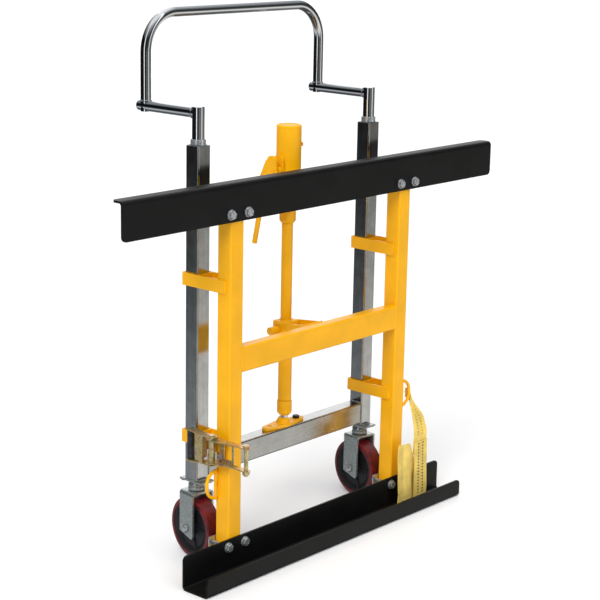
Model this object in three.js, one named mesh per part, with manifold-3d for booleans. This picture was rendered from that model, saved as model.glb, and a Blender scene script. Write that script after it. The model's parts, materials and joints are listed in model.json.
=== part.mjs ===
// Hydraulic panel mover: a wheeled carrier, and a lift frame that a hand-pumped jack raises up its
// two posts. Millimetres, +X to the right, +Y to the back, +Z up. The origin is on the floor, at the
// middle of the underside of the toe channel.
import * as THREE from 'three';
import { mergeVertices } from 'three/addons/utils/BufferGeometryUtils.js';
import Module from 'manifold-3d';

const wasm = await Module();
wasm.setup();

// ---- Driving dimensions ----

const gap = 0.3; // between pieces that touch
const runningGap = 1; // between pieces that slide on each other

const uprightSpacing = 600; // centre to centre, and the same for the posts
const uprightSize = 42;
const uprightWall = 3;
const uprightBottom = 8;
const tubeCorner = 4; // outer radius of every square tube's corners
const tubeCornerInside = 2;

const plateThickness = 5; // of the bent top beam and the toe channel
const plateCorner = 12; // radius of their outer corners
const beamLength = 1300;
const beamHeight = 87;
const beamFlange = 34;
const beamTop = 912;
const toeLength = 940;
const toeDepth = 80;
const toeBackHeight = 81;
const toeLipHeight = 45;

const crossbarHeight = 60;
const crossbarDepth = 30;
const crossbarShare = 0.55; // of the beam's height above the floor
const crossbarWall = 3;

const guideHeight = 30;
const guideThickness = 5;
const guideStart = 14; // how far behind the upright's front face a guide's arms begin
const upperGuideShare = 0.74; // of the beam's height above the floor
const lowerGuideCentre = 300;

const clampBoltRadius = 5;
const clampBoltRoom = 1.5; // between a bolt and the side of the upright that it passes
const clampLowerHeight = 63.5;
const clampUpperDrop = 69; // from the beam's top down to the upper bolts
const clampPlateThickness = 3.5;
const clampPlateHeight = 30;
const clampNutHeight = 4;
const clampBoltEnd = 0.5; // how far a bolt's end stands past its nut
const boltHeadAcross = 18;
const boltHeadHeight = 7;
const washerRadius = 12;
const washerThickness = 2;

const postSize = 40;
const postWall = 3;
const postSetback = 83; // from the uprights' back to the posts' axis
const postBottom = 193;
const postTop = 981;

const baseBarHeight = 55;
const baseBarBottom = 200;
const baseBarWall = 3;

const casterTurn = -8; // degrees that both casters stand turned
const casterPlateWidth = 42;
const casterPlateDepth = 72;
const casterPlateThickness = 5;
const swivelRadius = 20;
const swivelHeight = 22;
const kingPinRadius = 6;
const forkThickness = 5;
const forkGap = 52; // between the legs
const forkDepth = 50;
const wheelRadius = 74;
const wheelWidth = 40;
const treadThickness = 11;
const treadCorner = 5;
const axleRadius = 6;

const handleStubRadius = 14.5;
const handleStubBottom = 868;
const handleStubTop = 1067;
const handleTubeRadius = 12.5;
const handleArmHeight = 1052;
const handleReach = 170; // from the posts' axis back to the bow
const handleArmOverhang = 20; // how far an arm runs past the bow
const handleBowTop = 1263;
const handleBendRadius = 88;
const collarWall = 3;
const collarHeight = 13;

const jackForward = 4; // from the posts' axis forward to the jack's
const ramRadius = 9.5;
const ramTop = 600;
const footThickness = 8;
const footBossTop = 276;
const footBoltOffset = 48;
const footBoltRadius = 5;
const footTipOffset = 61;
const footTipRadius = 10;
const cylinderBore = 11.5;
const cylinderRadius = 17;
const glandRadius = 18.3;
const glandBottom = 284;
const cylinderBottom = 322;
const trunnionRise = 4; // from the crossbar's middle up to the trunnions
const trunnionRadius = 10;
const trunnionReach = 58;
const trunnionBlockWidth = 50;
const trunnionBlockDepth = 44;
const trunnionBlockHeight = 39;
const riserRadius = 14.6;
const riserTop = 765;
const bracketThickness = 5;

const valveCollarRadius = 20;
const valveBlockBottom = 800;
const valveBlockTop = 850;
const valveBlockDepth = 42;
const reservoirRadius = 30;
const reservoirWall = 3;
const reservoirTop = 1001;
const pumpOffset = -45.5; // from the jack's axis to the pump's
const pumpSetback = 11; // from the jack's axis back to the pump's
const pumpPlungerRadius = 6;
const pumpBarrelRadius = 12;
const pumpBarrelTop = 868;
const pumpPlungerTop = 892;
const leverPivotForward = 7; // from the jack's axis forward to the lever's pin
const leverPivotHeight = 897;
const leverPinRadius = 4;
const leverEarGap = 19; // between the two ears
const leverEarThickness = 5;
const leverRodRadius = 6.2;
const leverRodEnd = [65, 712]; // distance behind the jack's axis and height of the rod's lower end
const leverRodRoot = [31, 878];
const fulcrumLugWidth = 9;
const releaseKnobRadius = 11;
const releaseKnobHeight = 806;

const loopRodRadius = 4;
const loopHeight = 73;
const loopReach = 37;
const leftLoopHeight = 206;
const rightLoopHeight = 292;

const ratchetHeight = 293;
const ratchetWidth = 56;
const ratchetPlate = 2.5;
const ratchetDepth = 26;
const ratchetStandOff = 5.7;
const ratchetFront = -38;
const ratchetBack = 90;
const webWindowLength = 24;
const webWindowHeight = 34;
const mandrelDistance = 74;
const mandrelRadius = 8;
const mandrelSlot = 3.5;
const mandrelOverhang = 9; // past each cheek of the frame
const ratchetTeeth = 11;
const toothTipRadius = 15;
const toothRootRadius = 11.5;
const toothedWheelThickness = 3.1;
const endBarDistance = -27;
const endBarRadius = 5;
const gripDistance = 140;
const gripRadius = 8.5;
const gripOverhang = 14; // how much longer the grip is than the frame is wide
const mountBoltDistance = 60;
const mountBoltDrop = 16; // below the buckle's middle

const strapWidth = 50;
const strapBundleTop = 172;
const strapBundleRight = 392;
const strapFoldLeft = 264; // the left side of the fold that stands in the channel
const strapFoldRadius = 36;

const quarterTurn = Math.PI / 2;

// ---- Values worked out from them ----

const uprightX = uprightSpacing / 2;
const frontFace = toeDepth / 2;
const uprightBack = frontFace + uprightSize;
const uprightTop = beamTop - 2 * plateThickness - gap;
const clampBoltSpread = uprightSize + 2 * (clampBoltRadius + clampBoltRoom);
const clampUpperHeight = beamTop - clampUpperDrop;
const upperGuideCentre = upperGuideShare * beamTop;
const crossbarCentre = crossbarShare * beamTop;
const trunnionHeight = crossbarCentre + trunnionRise;
const postDistance = uprightBack + postSetback;
const jackDistance = postDistance - jackForward;
const pumpPlungerDistance = jackDistance + pumpSetback;
const leverPivotDistance = jackDistance - leverPivotForward;
const mountBoltHeight = ratchetHeight - mountBoltDrop;
const gripLength = ratchetWidth + gripOverhang;
const postFront = postDistance - postSize / 2;
const postBack = postDistance + postSize / 2;
const baseBarTop = baseBarBottom + baseBarHeight;
const boltSeat = frontFace - plateThickness - 2 * gap;
const boltHeadFront = boltSeat - washerThickness - boltHeadHeight;
const casterPlateTop = postBottom - gap;
const forkTop = casterPlateTop - casterPlateThickness - swivelHeight - gap;

// ---- Finishes ----

function finish(color, roughness, metalness) {
  return new THREE.MeshStandardMaterial({ color, roughness, metalness });
}

const yellowPaint = finish(0xf2ae22, 0.4, 0);
const blackPowderCoat = finish(0x161616, 0.5, 0);
const zincedSteel = finish(0x9c9c98, 0.35, 1);
const chromedSteel = finish(0xb8bcc0, 0.12, 1);
const boltSteel = finish(0xaeb4b8, 0.3, 1);
const goldZinc = finish(0xb39a5a, 0.35, 1);
const redPolyurethane = finish(0x7d1c22, 0.35, 0);
const blackIron = finish(0x1d1c1e, 0.5, 0.2);
const blackRubber = finish(0x222222, 0.7, 0);
const paleWebbing = finish(0xe9cf66, 0.85, 0);

// ---- Geometry helpers ----

function shapeOf(points) {
  return new THREE.Shape(points.map(([x, y]) => new THREE.Vector2(x, y)));
}

function circleShape(x, y, radius) {
  return new THREE.Shape().absarc(x, y, radius, 0, 2 * Math.PI);
}

// A rectangle from (x0, y0) to (x1, y1) with rounded corners.
function roundedShape(x0, y0, x1, y1, radius) {
  const shape = new THREE.Shape();
  shape.absarc(x1 - radius, y1 - radius, radius, 0, quarterTurn);
  shape.absarc(x0 + radius, y1 - radius, radius, quarterTurn, Math.PI);
  shape.absarc(x0 + radius, y0 + radius, radius, Math.PI, 3 * quarterTurn);
  shape.absarc(x1 - radius, y0 + radius, radius, 3 * quarterTurn, 4 * quarterTurn);
  return shape;
}

function hexagonShape(x, y, across) {
  const corner = across / Math.sqrt(3);
  const corners = [0, 1, 2, 3, 4, 5].map((i) => (i * Math.PI) / 3 + quarterTurn);
  return shapeOf(corners.map((a) => [x + corner * Math.cos(a), y + corner * Math.sin(a)]));
}

// Extrudes along X a shape drawn in Y and Z, from x0 to x1.
function alongX(shape, x0, x1, curveSegments = 10) {
  const made = new THREE.ExtrudeGeometry(shape, { depth: x1 - x0, bevelEnabled: false, curveSegments });
  const turn = new THREE.Matrix4().makeBasis(
    new THREE.Vector3(0, 1, 0),
    new THREE.Vector3(0, 0, 1),
    new THREE.Vector3(1, 0, 0),
  );
  return made.applyMatrix4(turn).translate(x0, 0, 0);
}

// Extrudes along Y a shape drawn in X and Z, from y0 to y1.
function alongY(shape, y0, y1, curveSegments = 10) {
  const made = new THREE.ExtrudeGeometry(shape, { depth: y1 - y0, bevelEnabled: false, curveSegments });
  return made.rotateX(quarterTurn).translate(0, y1, 0);
}

// Extrudes along Z a shape drawn in X and Y, from z0 to z1.
function alongZ(shape, z0, z1, curveSegments = 10) {
  const made = new THREE.ExtrudeGeometry(shape, { depth: z1 - z0, bevelEnabled: false, curveSegments });
  return made.translate(0, 0, z0);
}

function block(x0, x1, y0, y1, z0, z1) {
  const made = new THREE.BoxGeometry(x1 - x0, y1 - y0, z1 - z0);
  return made.translate((x0 + x1) / 2, (y0 + y1) / 2, (z0 + z1) / 2);
}

// A solid of revolution about a vertical line, from a profile of [radius, height] points.
function turned(profile, x, y, sides = 28) {
  const points = profile.map(([r, z]) => new THREE.Vector2(r, z));
  return new THREE.LatheGeometry(points, sides).rotateX(quarterTurn).translate(x, y, 0);
}

// A tube's wall between two shapes, the inner one a hole in the outer one.
function hollow(outer, inner) {
  outer.holes.push(inner);
  return outer;
}

function solidOf(geometry) {
  const bare = geometry.clone();
  bare.deleteAttribute('normal');
  bare.deleteAttribute('uv');
  const merged = mergeVertices(bare, 1e-4);
  return new wasm.Manifold(
    new wasm.Mesh({
      numProp: 3,
      vertProperties: merged.attributes.position.array,
      triVerts: new Uint32Array(merged.index.array),
    }),
  );
}

function geometryOf(solid) {
  const mesh = solid.getMesh();
  const made = new THREE.BufferGeometry();
  made.setAttribute('position', new THREE.BufferAttribute(mesh.vertProperties, 3));
  made.setIndex(new THREE.BufferAttribute(mesh.triVerts, 1));
  made.computeVertexNormals();
  return made;
}

function join(first, ...others) {
  return geometryOf(others.reduce((sum, other) => sum.add(solidOf(other)), solidOf(first)));
}

function cut(first, ...others) {
  return geometryOf(others.reduce((rest, other) => rest.subtract(solidOf(other)), solidOf(first)));
}

function common(first, second) {
  return geometryOf(solidOf(first).intersect(solidOf(second)));
}

const object = new THREE.Group();

function addPart(name, geometry, material, group = object) {
  const mesh = new THREE.Mesh(geometry, material);
  mesh.name = name;
  group.add(mesh);
}

const sides = [
  ['left', -1],
  ['right', 1],
];

// ---- Lift frame ----

function addUprights() {
  for (const [side, sign] of sides) {
    const x = sign * uprightX;
    const half = uprightSize / 2;
    const outer = roundedShape(x - half, frontFace, x + half, uprightBack, tubeCorner);
    const inner = roundedShape(
      x - half + uprightWall,
      frontFace + uprightWall,
      x + half - uprightWall,
      uprightBack - uprightWall,
      tubeCornerInside,
    );
    const tube = alongZ(hollow(outer, inner), uprightBottom, uprightTop, 1);
    addPart(`upright_${side}`, tube, yellowPaint);
  }
}

function addCrossbar() {
  const half = crossbarHeight / 2;
  const back = frontFace + crossbarDepth;
  const low = crossbarCentre - half;
  const high = crossbarCentre + half;
  const outer = roundedShape(frontFace, low, back, high, tubeCorner);
  const inner = roundedShape(
    frontFace + crossbarWall,
    low + crossbarWall,
    back - crossbarWall,
    high - crossbarWall,
    tubeCornerInside,
  );
  const end = uprightX - uprightSize / 2 - gap;
  addPart('crossbar', alongX(hollow(outer, inner), -end, end, 1), yellowPaint);
}

// A flat bar bent round a post, with its two arms on the upright's sides and a strap across in front.
function addGuides() {
  const armInside = Math.max(uprightSize / 2 + gap, postSize / 2 + runningGap);
  const armOutside = armInside + guideThickness;
  const start = frontFace + guideStart;
  const backInside = postBack + runningGap;
  const frontInside = postFront - runningGap;
  const levels = [
    ['upper', upperGuideCentre],
    ['lower', lowerGuideCentre],
  ];
  for (const [level, centre] of levels) {
    for (const [side, sign] of sides) {
      const x = sign * uprightX;
      const low = centre - guideHeight / 2;
      const high = centre + guideHeight / 2;
      const outline = roundedShape(
        x - armOutside,
        start - guideThickness,
        x + armOutside,
        backInside + guideThickness,
        guideThickness,
      );
      const room = shapeOf([
        [x - armInside, start - 2 * guideThickness],
        [x + armInside, start - 2 * guideThickness],
        [x + armInside, frontInside - guideThickness],
        [x - armInside, frontInside - guideThickness],
      ]);
      const postRoom = shapeOf([
        [x - armInside, frontInside],
        [x + armInside, frontInside],
        [x + armInside, backInside],
        [x - armInside, backInside],
      ]);
      const openFront = block(
        x - armOutside - 1,
        x + armOutside + 1,
        start - 2 * guideThickness,
        start,
        low - 1,
        high + 1,
      );
      const guide = cut(
        alongZ(outline, low, high, 2),
        alongZ(room, low - 1, high + 1),
        alongZ(postRoom, low - 1, high + 1),
        openFront,
      );
      addPart(`guide_${level}_${side}`, guide, yellowPaint);
    }
  }
}

function addTopBeam() {
  const back = frontFace - gap;
  const front = back - plateThickness;
  const bottom = beamTop - beamHeight;
  const bend = 2 * plateThickness;
  const section = new THREE.Shape();
  section.moveTo(front, bottom);
  section.lineTo(back, bottom);
  section.lineTo(back, beamTop - plateThickness - plateThickness);
  section.absarc(back + plateThickness, beamTop - bend, plateThickness, Math.PI, quarterTurn, true);
  section.lineTo(front + beamFlange, beamTop - plateThickness);
  section.lineTo(front + beamFlange, beamTop);
  section.lineTo(front + bend, beamTop);
  section.absarc(front + bend, beamTop - bend, bend, quarterTurn, Math.PI, false);
  section.closePath();
  const half = beamLength / 2;
  const frontView = roundedShape(-half, bottom, half, beamTop + 3 * plateCorner, plateCorner);
  const planView = roundedShape(-half, front - 3 * plateCorner, half, front + beamFlange, plateCorner);
  const beam = common(
    common(alongX(section, -half, half, 2), alongY(frontView, front - 1, front + beamFlange + 1, 5)),
    alongZ(planView, bottom - 1, beamTop + 1, 5),
  );
  addPart('top_beam', cut(beam, ...boltHoles(clampUpperHeight)), blackPowderCoat);
}

function addToeChannel() {
  const back = frontFace - gap;
  const front = -toeDepth / 2;
  const bend = 2 * plateThickness;
  const section = new THREE.Shape();
  section.moveTo(front + bend, 0);
  section.lineTo(back - bend, 0);
  section.absarc(back - bend, bend, bend, 3 * quarterTurn, 4 * quarterTurn, false);
  section.lineTo(back, toeBackHeight);
  section.lineTo(back - plateThickness, toeBackHeight);
  section.lineTo(back - plateThickness, bend);
  section.absarc(back - bend, bend, plateThickness, 0, -quarterTurn, true);
  section.lineTo(front + bend, plateThickness);
  section.absarc(front + bend, bend, plateThickness, -quarterTurn, -Math.PI, true);
  section.lineTo(front + plateThickness, toeLipHeight);
  section.lineTo(front, toeLipHeight);
  section.lineTo(front, bend);
  section.absarc(front + bend, bend, bend, Math.PI, 3 * quarterTurn, false);
  const half = toeLength / 2;
  const bar = alongX(section, -half, half, 2);
  const backView = roundedShape(-half, -3 * plateCorner, half, toeBackHeight, plateCorner);
  const lipView = roundedShape(-half, -3 * plateCorner, half, toeLipHeight, plateCorner);
  const rounded = common(
    bar,
    join(alongY(backView, 0, back + 1, 5), alongY(lipView, front - 1, 0, 5)),
  );
  addPart('toe_channel', cut(rounded, ...boltHoles(clampLowerHeight)), blackPowderCoat);
}

function boltPlaces() {
  return sides.flatMap(([side, sign]) => [
    [`${side}_outer`, sign * (uprightX + clampBoltSpread / 2)],
    [`${side}_inner`, sign * (uprightX - clampBoltSpread / 2)],
  ]);
}

function boltHoles(height) {
  return boltPlaces().map(([, x]) =>
    alongY(circleShape(x, height, clampBoltRadius + gap), frontFace - 3 * plateThickness, frontFace + 1, 8),
  );
}

// Bolts that straddle each upright, and the plate behind it that they pull up, with its two weld nuts.
function addClamps() {
  const levels = [
    ['upper', clampUpperHeight],
    ['lower', clampLowerHeight],
  ];
  const plateFront = uprightBack + gap;
  const plateBack = plateFront + clampPlateThickness;
  const nutBack = plateBack + clampNutHeight;
  const washerFront = boltSeat - washerThickness;
  const boltOffset = clampBoltSpread / 2;
  const boltEnd = nutBack + clampBoltEnd;
  const plateHalf = boltOffset + 13;
  for (const [level, height] of levels) {
    for (const [side, sign] of sides) {
      const x = sign * uprightX;
      const low = height - clampPlateHeight / 2;
      const high = height + clampPlateHeight / 2;
      const plateView = roundedShape(x - plateHalf, low, x + plateHalf, high, 4);
      const plate = alongY(plateView, plateFront, plateBack, 2);
      const nuts = [-1, 1].map((way) =>
        alongY(hexagonShape(x + way * boltOffset, height, boltHeadAcross), plateBack - 1, nutBack),
      );
      const holes = [-1, 1].map((way) =>
        alongY(
          circleShape(x + way * boltOffset, height, clampBoltRadius + gap),
          plateFront - 1,
          nutBack + 1,
          8,
        ),
      );
      addPart(`clamp_plate_${level}_${side}`, cut(join(plate, ...nuts), ...holes), boltSteel);
    }
    for (const [place, x] of boltPlaces()) {
      const shank = alongY(circleShape(x, height, clampBoltRadius), boltSeat - 1, boltEnd, 8);
      const washer = alongY(circleShape(x, height, washerRadius), washerFront, boltSeat, 10);
      const head = alongY(hexagonShape(x, height, boltHeadAcross), boltHeadFront, washerFront + 1);
      addPart(`clamp_bolt_${level}_${place}`, join(shank, washer, head), boltSteel);
    }
  }
}

// A D-shaped rod loop welded to the outer side of an upright, in the plane across the frame.
function addLoop(name, sign, y, z) {
  const face = uprightX + uprightSize / 2 + gap;
  const near = face + loopRodRadius;
  const far = face + loopReach - loopRodRadius;
  const half = loopHeight / 2 - loopRodRadius;
  const bend = far - near;
  const place = (x, height) => new THREE.Vector3(sign * x, y, z + height);
  const leg = alongZ(circleShape(sign * near, y, loopRodRadius), z - half, z + half, 4);
  const bow = new THREE.CatmullRomCurve3([
    place(near, half),
    place(near + 0.45 * bend, half - 0.02 * bend),
    place(near + 0.88 * bend, half - 0.4 * bend),
    place(far, half - bend),
    place(far, 0),
    place(far, bend - half),
    place(near + 0.88 * bend, 0.4 * bend - half),
    place(near + 0.45 * bend, 0.02 * bend - half),
    place(near, -half),
  ]);
  const rod = new THREE.ExtrudeGeometry(circleShape(0, 0, loopRodRadius), {
    steps: 20,
    curveSegments: 4,
    extrudePath: bow,
  });
  const ends = [-half, half].map((height) =>
    new THREE.SphereGeometry(loopRodRadius, 8, 6).translate(sign * near, y, z + height),
  );
  addPart(name, join(leg, rod, ...ends), yellowPaint);
}

// ---- Carrier: what stays on the floor ----

function addPosts() {
  for (const [side, sign] of sides) {
    const x = sign * uprightX;
    const half = postSize / 2;
    const outer = roundedShape(x - half, postFront, x + half, postBack, tubeCorner);
    const inner = roundedShape(
      x - half + postWall,
      postFront + postWall,
      x + half - postWall,
      postBack - postWall,
      tubeCornerInside,
    );
    addPart(`post_${side}`, alongZ(hollow(outer, inner), postBottom, postTop, 1), zincedSteel);
    const collar = hollow(
      circleShape(x, postDistance, handleStubRadius + gap + collarWall),
      circleShape(x, postDistance, handleStubRadius + gap),
    );
    const collarBottom = postTop + gap;
    addPart(`collar_${side}`, alongZ(collar, collarBottom, collarBottom + collarHeight, 14), chromedSteel);
  }
}

function addBaseBar() {
  const outer = roundedShape(postFront, baseBarBottom, postBack, baseBarTop, tubeCorner);
  const inner = roundedShape(
    postFront + baseBarWall,
    baseBarBottom + baseBarWall,
    postBack - baseBarWall,
    baseBarTop - baseBarWall,
    tubeCornerInside,
  );
  const end = uprightX - postSize / 2 - gap;
  addPart('base_bar', alongX(hollow(outer, inner), -end, end, 1), zincedSteel);
}

// The plate under a post, the swivel housing below it and the king pin that the fork turns on.
function addCasterMounts() {
  const plateBottom = casterPlateTop - casterPlateThickness;
  const housingBottom = plateBottom - swivelHeight;
  const pinHead = forkTop - forkThickness - gap;
  for (const [side, sign] of sides) {
    const x = sign * uprightX;
    const plate = alongZ(
      roundedShape(
        x - casterPlateWidth / 2,
        postDistance - casterPlateDepth / 2,
        x + casterPlateWidth / 2,
        postDistance + casterPlateDepth / 2,
        3,
      ),
      plateBottom,
      casterPlateTop,
      3,
    );
    const housing = turned(
      [
        [0, pinHead - 5],
        [kingPinRadius + 4, pinHead - 5],
        [kingPinRadius + 4, pinHead],
        [kingPinRadius, pinHead],
        [kingPinRadius, housingBottom],
        [swivelRadius - 2, housingBottom],
        [swivelRadius, housingBottom + 3],
        [swivelRadius, housingBottom + 9],
        [swivelRadius - 4, housingBottom + 13],
        [swivelRadius - 4, plateBottom + 1],
        [0, plateBottom + 1],
      ],
      x,
      postDistance,
    );
    addPart(`caster_mount_${side}`, join(plate, housing), zincedSteel);
  }
}

function addCasters() {
  const inside = forkGap / 2;
  const outside = inside + forkThickness;
  const half = forkDepth / 2;
  for (const [side, sign] of sides) {
    const caster = new THREE.Group();
    caster.position.set(sign * uprightX, postDistance, 0);
    caster.rotation.z = THREE.MathUtils.degToRad(casterTurn);
    object.add(caster);

    const legOutline = shapeOf([
      [-half, forkTop],
      [-half, wheelRadius - 14],
      [4 - half, wheelRadius - 22],
      [8 - half, wheelRadius - 22],
      [half, wheelRadius - 10],
      [half, forkTop],
    ]);
    const crown = block(-outside, outside, -half, half, forkTop - forkThickness, forkTop);
    const legs = [
      alongX(legOutline, -outside, -inside),
      alongX(legOutline, inside, outside),
    ];
    const axleHole = alongX(circleShape(0, wheelRadius, axleRadius + gap), -outside - 1, outside + 1, 8);
    const pinCircle = circleShape(0, 0, kingPinRadius + gap);
    const pinHole = alongZ(pinCircle, forkTop - 2 * forkThickness, forkTop + 1, 10);
    addPart(`fork_${side}`, cut(join(crown, ...legs), axleHole, pinHole), zincedSteel, caster);

    const axleHead = outside + gap;
    const axle = alongX(circleShape(0, wheelRadius, axleRadius), -axleHead - 1, axleHead + 9, 8);
    const head = alongX(hexagonShape(0, wheelRadius, boltHeadAcross), -axleHead - 7, -axleHead);
    const nut = alongX(hexagonShape(0, wheelRadius, boltHeadAcross), axleHead, axleHead + 8);
    addPart(`axle_${side}`, join(axle, head, nut), boltSteel, caster);

    const coreRadius = wheelRadius - treadThickness;
    const w = wheelWidth / 2;
    const bore = axleRadius + gap;
    const spin = (profile) =>
      turned(profile, 0, 0, 32).rotateY(quarterTurn).translate(0, 0, wheelRadius);
    const core = spin([
      [bore, -w - 4],
      [15, -w - 4],
      [15, -w + 6],
      [coreRadius - 9, -w + 6],
      [coreRadius - 5, -w + 1],
      [coreRadius - gap, -w + 1],
      [coreRadius - gap, w - 1],
      [coreRadius - 5, w - 1],
      [coreRadius - 9, w - 6],
      [15, w - 6],
      [15, w + 4],
      [bore, w + 4],
      [bore, -w - 4],
    ]);
    addPart(`wheel_core_${side}`, core, blackIron, caster);
    const tread = spin([
      [coreRadius, -w],
      [wheelRadius - treadCorner, -w],
      [wheelRadius - 0.3 * treadCorner, 0.3 * treadCorner - w],
      [wheelRadius, treadCorner - w],
      [wheelRadius, w - treadCorner],
      [wheelRadius - 0.3 * treadCorner, w - 0.3 * treadCorner],
      [wheelRadius - treadCorner, w],
      [coreRadius, w],
      [coreRadius, -w],
    ]);
    addPart(`tread_${side}`, tread, redPolyurethane, caster);
  }
}

// ---- Push handle ----

function addHandle() {
  const straight = uprightX - handleBendRadius;
  const bendStart = handleBowTop - handleBendRadius;
  const pull = 0.5523 * handleBendRadius; // a cubic curve's handles for a quarter circle
  const y = postDistance + handleReach;
  const at = (x, z) => new THREE.Vector3(x, y, z);
  const path = new THREE.CurvePath();
  path.add(new THREE.LineCurve3(at(-uprightX, handleArmHeight), at(-uprightX, bendStart)));
  path.add(
    new THREE.CubicBezierCurve3(
      at(-uprightX, bendStart),
      at(-uprightX, bendStart + pull),
      at(-straight - pull, handleBowTop),
      at(-straight, handleBowTop),
    ),
  );
  path.add(new THREE.LineCurve3(at(-straight, handleBowTop), at(straight, handleBowTop)));
  path.add(
    new THREE.CubicBezierCurve3(
      at(straight, handleBowTop),
      at(straight + pull, handleBowTop),
      at(uprightX, bendStart + pull),
      at(uprightX, bendStart),
    ),
  );
  path.add(new THREE.LineCurve3(at(uprightX, bendStart), at(uprightX, handleArmHeight)));
  const bow = new THREE.ExtrudeGeometry(circleShape(0, 0, handleTubeRadius), {
    steps: 52,
    curveSegments: 7,
    extrudePath: path,
  });
  const pieces = sides.flatMap(([, sign]) => {
    const x = sign * uprightX;
    return [
      alongZ(circleShape(x, postDistance, handleStubRadius), handleStubBottom, handleStubTop, 10),
      alongY(circleShape(x, handleArmHeight, handleTubeRadius), postDistance, y + handleArmOverhang, 9),
    ];
  });
  addPart('push_handle', join(bow, ...pieces), chromedSteel);
}

// ---- Jack ----

function addFootAndRam() {
  const base = baseBarTop + gap;
  const middleRadius = postSize / 2;
  const outline = new THREE.Shape();
  const lean = Math.asin((middleRadius - footTipRadius) / footTipOffset);
  outline.absarc(footTipOffset, postDistance, footTipRadius, lean - quarterTurn, quarterTurn - lean);
  outline.absarc(0, postDistance, middleRadius, quarterTurn - lean, quarterTurn + lean);
  outline.absarc(-footTipOffset, postDistance, footTipRadius, quarterTurn + lean, 3 * quarterTurn - lean);
  outline.absarc(0, postDistance, middleRadius, 3 * quarterTurn - lean, 3 * quarterTurn + lean);
  const top = base + footThickness;
  const boss = turned(
    [
      [0, base],
      [middleRadius - 2, base],
      [middleRadius - 2, top],
      [ramRadius + 4, footBossTop - 4],
      [ramRadius + 2, footBossTop],
      [0, footBossTop],
    ],
    0,
    postDistance,
  );
  const holes = [-1, 1].map((way) =>
    alongZ(circleShape(way * footBoltOffset, postDistance, footBoltRadius + gap), base - 1, top + 1, 8),
  );
  addPart('jack_foot', cut(join(alongZ(outline, base, top, 8), boss), ...holes), yellowPaint);

  const shank = alongZ(circleShape(footBoltOffset, postDistance, footBoltRadius), base, top + 1, 8);
  const head = alongZ(hexagonShape(footBoltOffset, postDistance, 15), top + gap, top + 7);
  addPart('foot_bolt', join(shank, head), blackIron);

  addPart(
    'jack_ram',
    alongZ(circleShape(0, jackDistance, ramRadius), footBossTop + gap, ramTop, 10),
    chromedSteel,
  );
}

function addCylinder() {
  const bore = circleShape(0, jackDistance, cylinderBore);
  const gland = turned(
    [
      [ramRadius + gap, glandBottom],
      [glandRadius - 5, glandBottom],
      [glandRadius, glandBottom + 6],
      [glandRadius, cylinderBottom - gap],
      [ramRadius + gap, cylinderBottom - gap],
      [ramRadius + gap, glandBottom],
    ],
    0,
    jackDistance,
  );
  addPart('gland_nut', gland, yellowPaint);

  const blockLow = trunnionHeight - trunnionBlockHeight / 2;
  const blockHigh = trunnionHeight + trunnionBlockHeight / 2;
  const body = join(
    alongZ(circleShape(0, jackDistance, cylinderRadius), cylinderBottom, blockLow + 1, 12),
    alongZ(circleShape(0, jackDistance, riserRadius), blockHigh - 1, riserTop, 12),
    alongZ(
      roundedShape(
        -trunnionBlockWidth / 2,
        jackDistance - trunnionBlockDepth / 2,
        trunnionBlockWidth / 2,
        jackDistance + trunnionBlockDepth / 2,
        8,
      ),
      blockLow,
      blockHigh,
      4,
    ),
    alongX(circleShape(jackDistance, trunnionHeight, trunnionRadius), -trunnionReach, trunnionReach, 10),
  );
  addPart('jack_cylinder', cut(body, alongZ(bore, cylinderBottom - 1, riserTop + 1, 12)), yellowPaint);
}

// Two gussets on the back of the crossbar, with round eyes that carry the trunnions.
function addJackBracket() {
  const inside = trunnionBlockWidth / 2 + gap;
  const outside = inside + bracketThickness;
  const seat = frontFace + crossbarDepth + gap;
  const top = crossbarCentre + crossbarHeight / 2;
  const bottom = crossbarCentre - crossbarHeight / 2;
  const eye = trunnionRadius + 6;
  const gusset = shapeOf([
    [seat, bottom],
    [jackDistance, trunnionHeight - eye],
    [jackDistance, trunnionHeight + eye],
    [seat, top],
  ]);
  const gussets = [-1, 1].flatMap((way) => {
    const x0 = Math.min(way * inside, way * outside);
    const x1 = Math.max(way * inside, way * outside);
    return [alongX(gusset, x0, x1), alongX(circleShape(jackDistance, trunnionHeight, eye), x0, x1, 8)];
  });
  const back = block(-outside, outside, seat, seat + bracketThickness, bottom, top);
  const hole = alongX(
    circleShape(jackDistance, trunnionHeight, trunnionRadius + gap),
    -outside - 1,
    outside + 1,
    10,
  );
  addPart('jack_bracket', cut(join(back, ...gussets), hole), yellowPaint);
}

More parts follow.
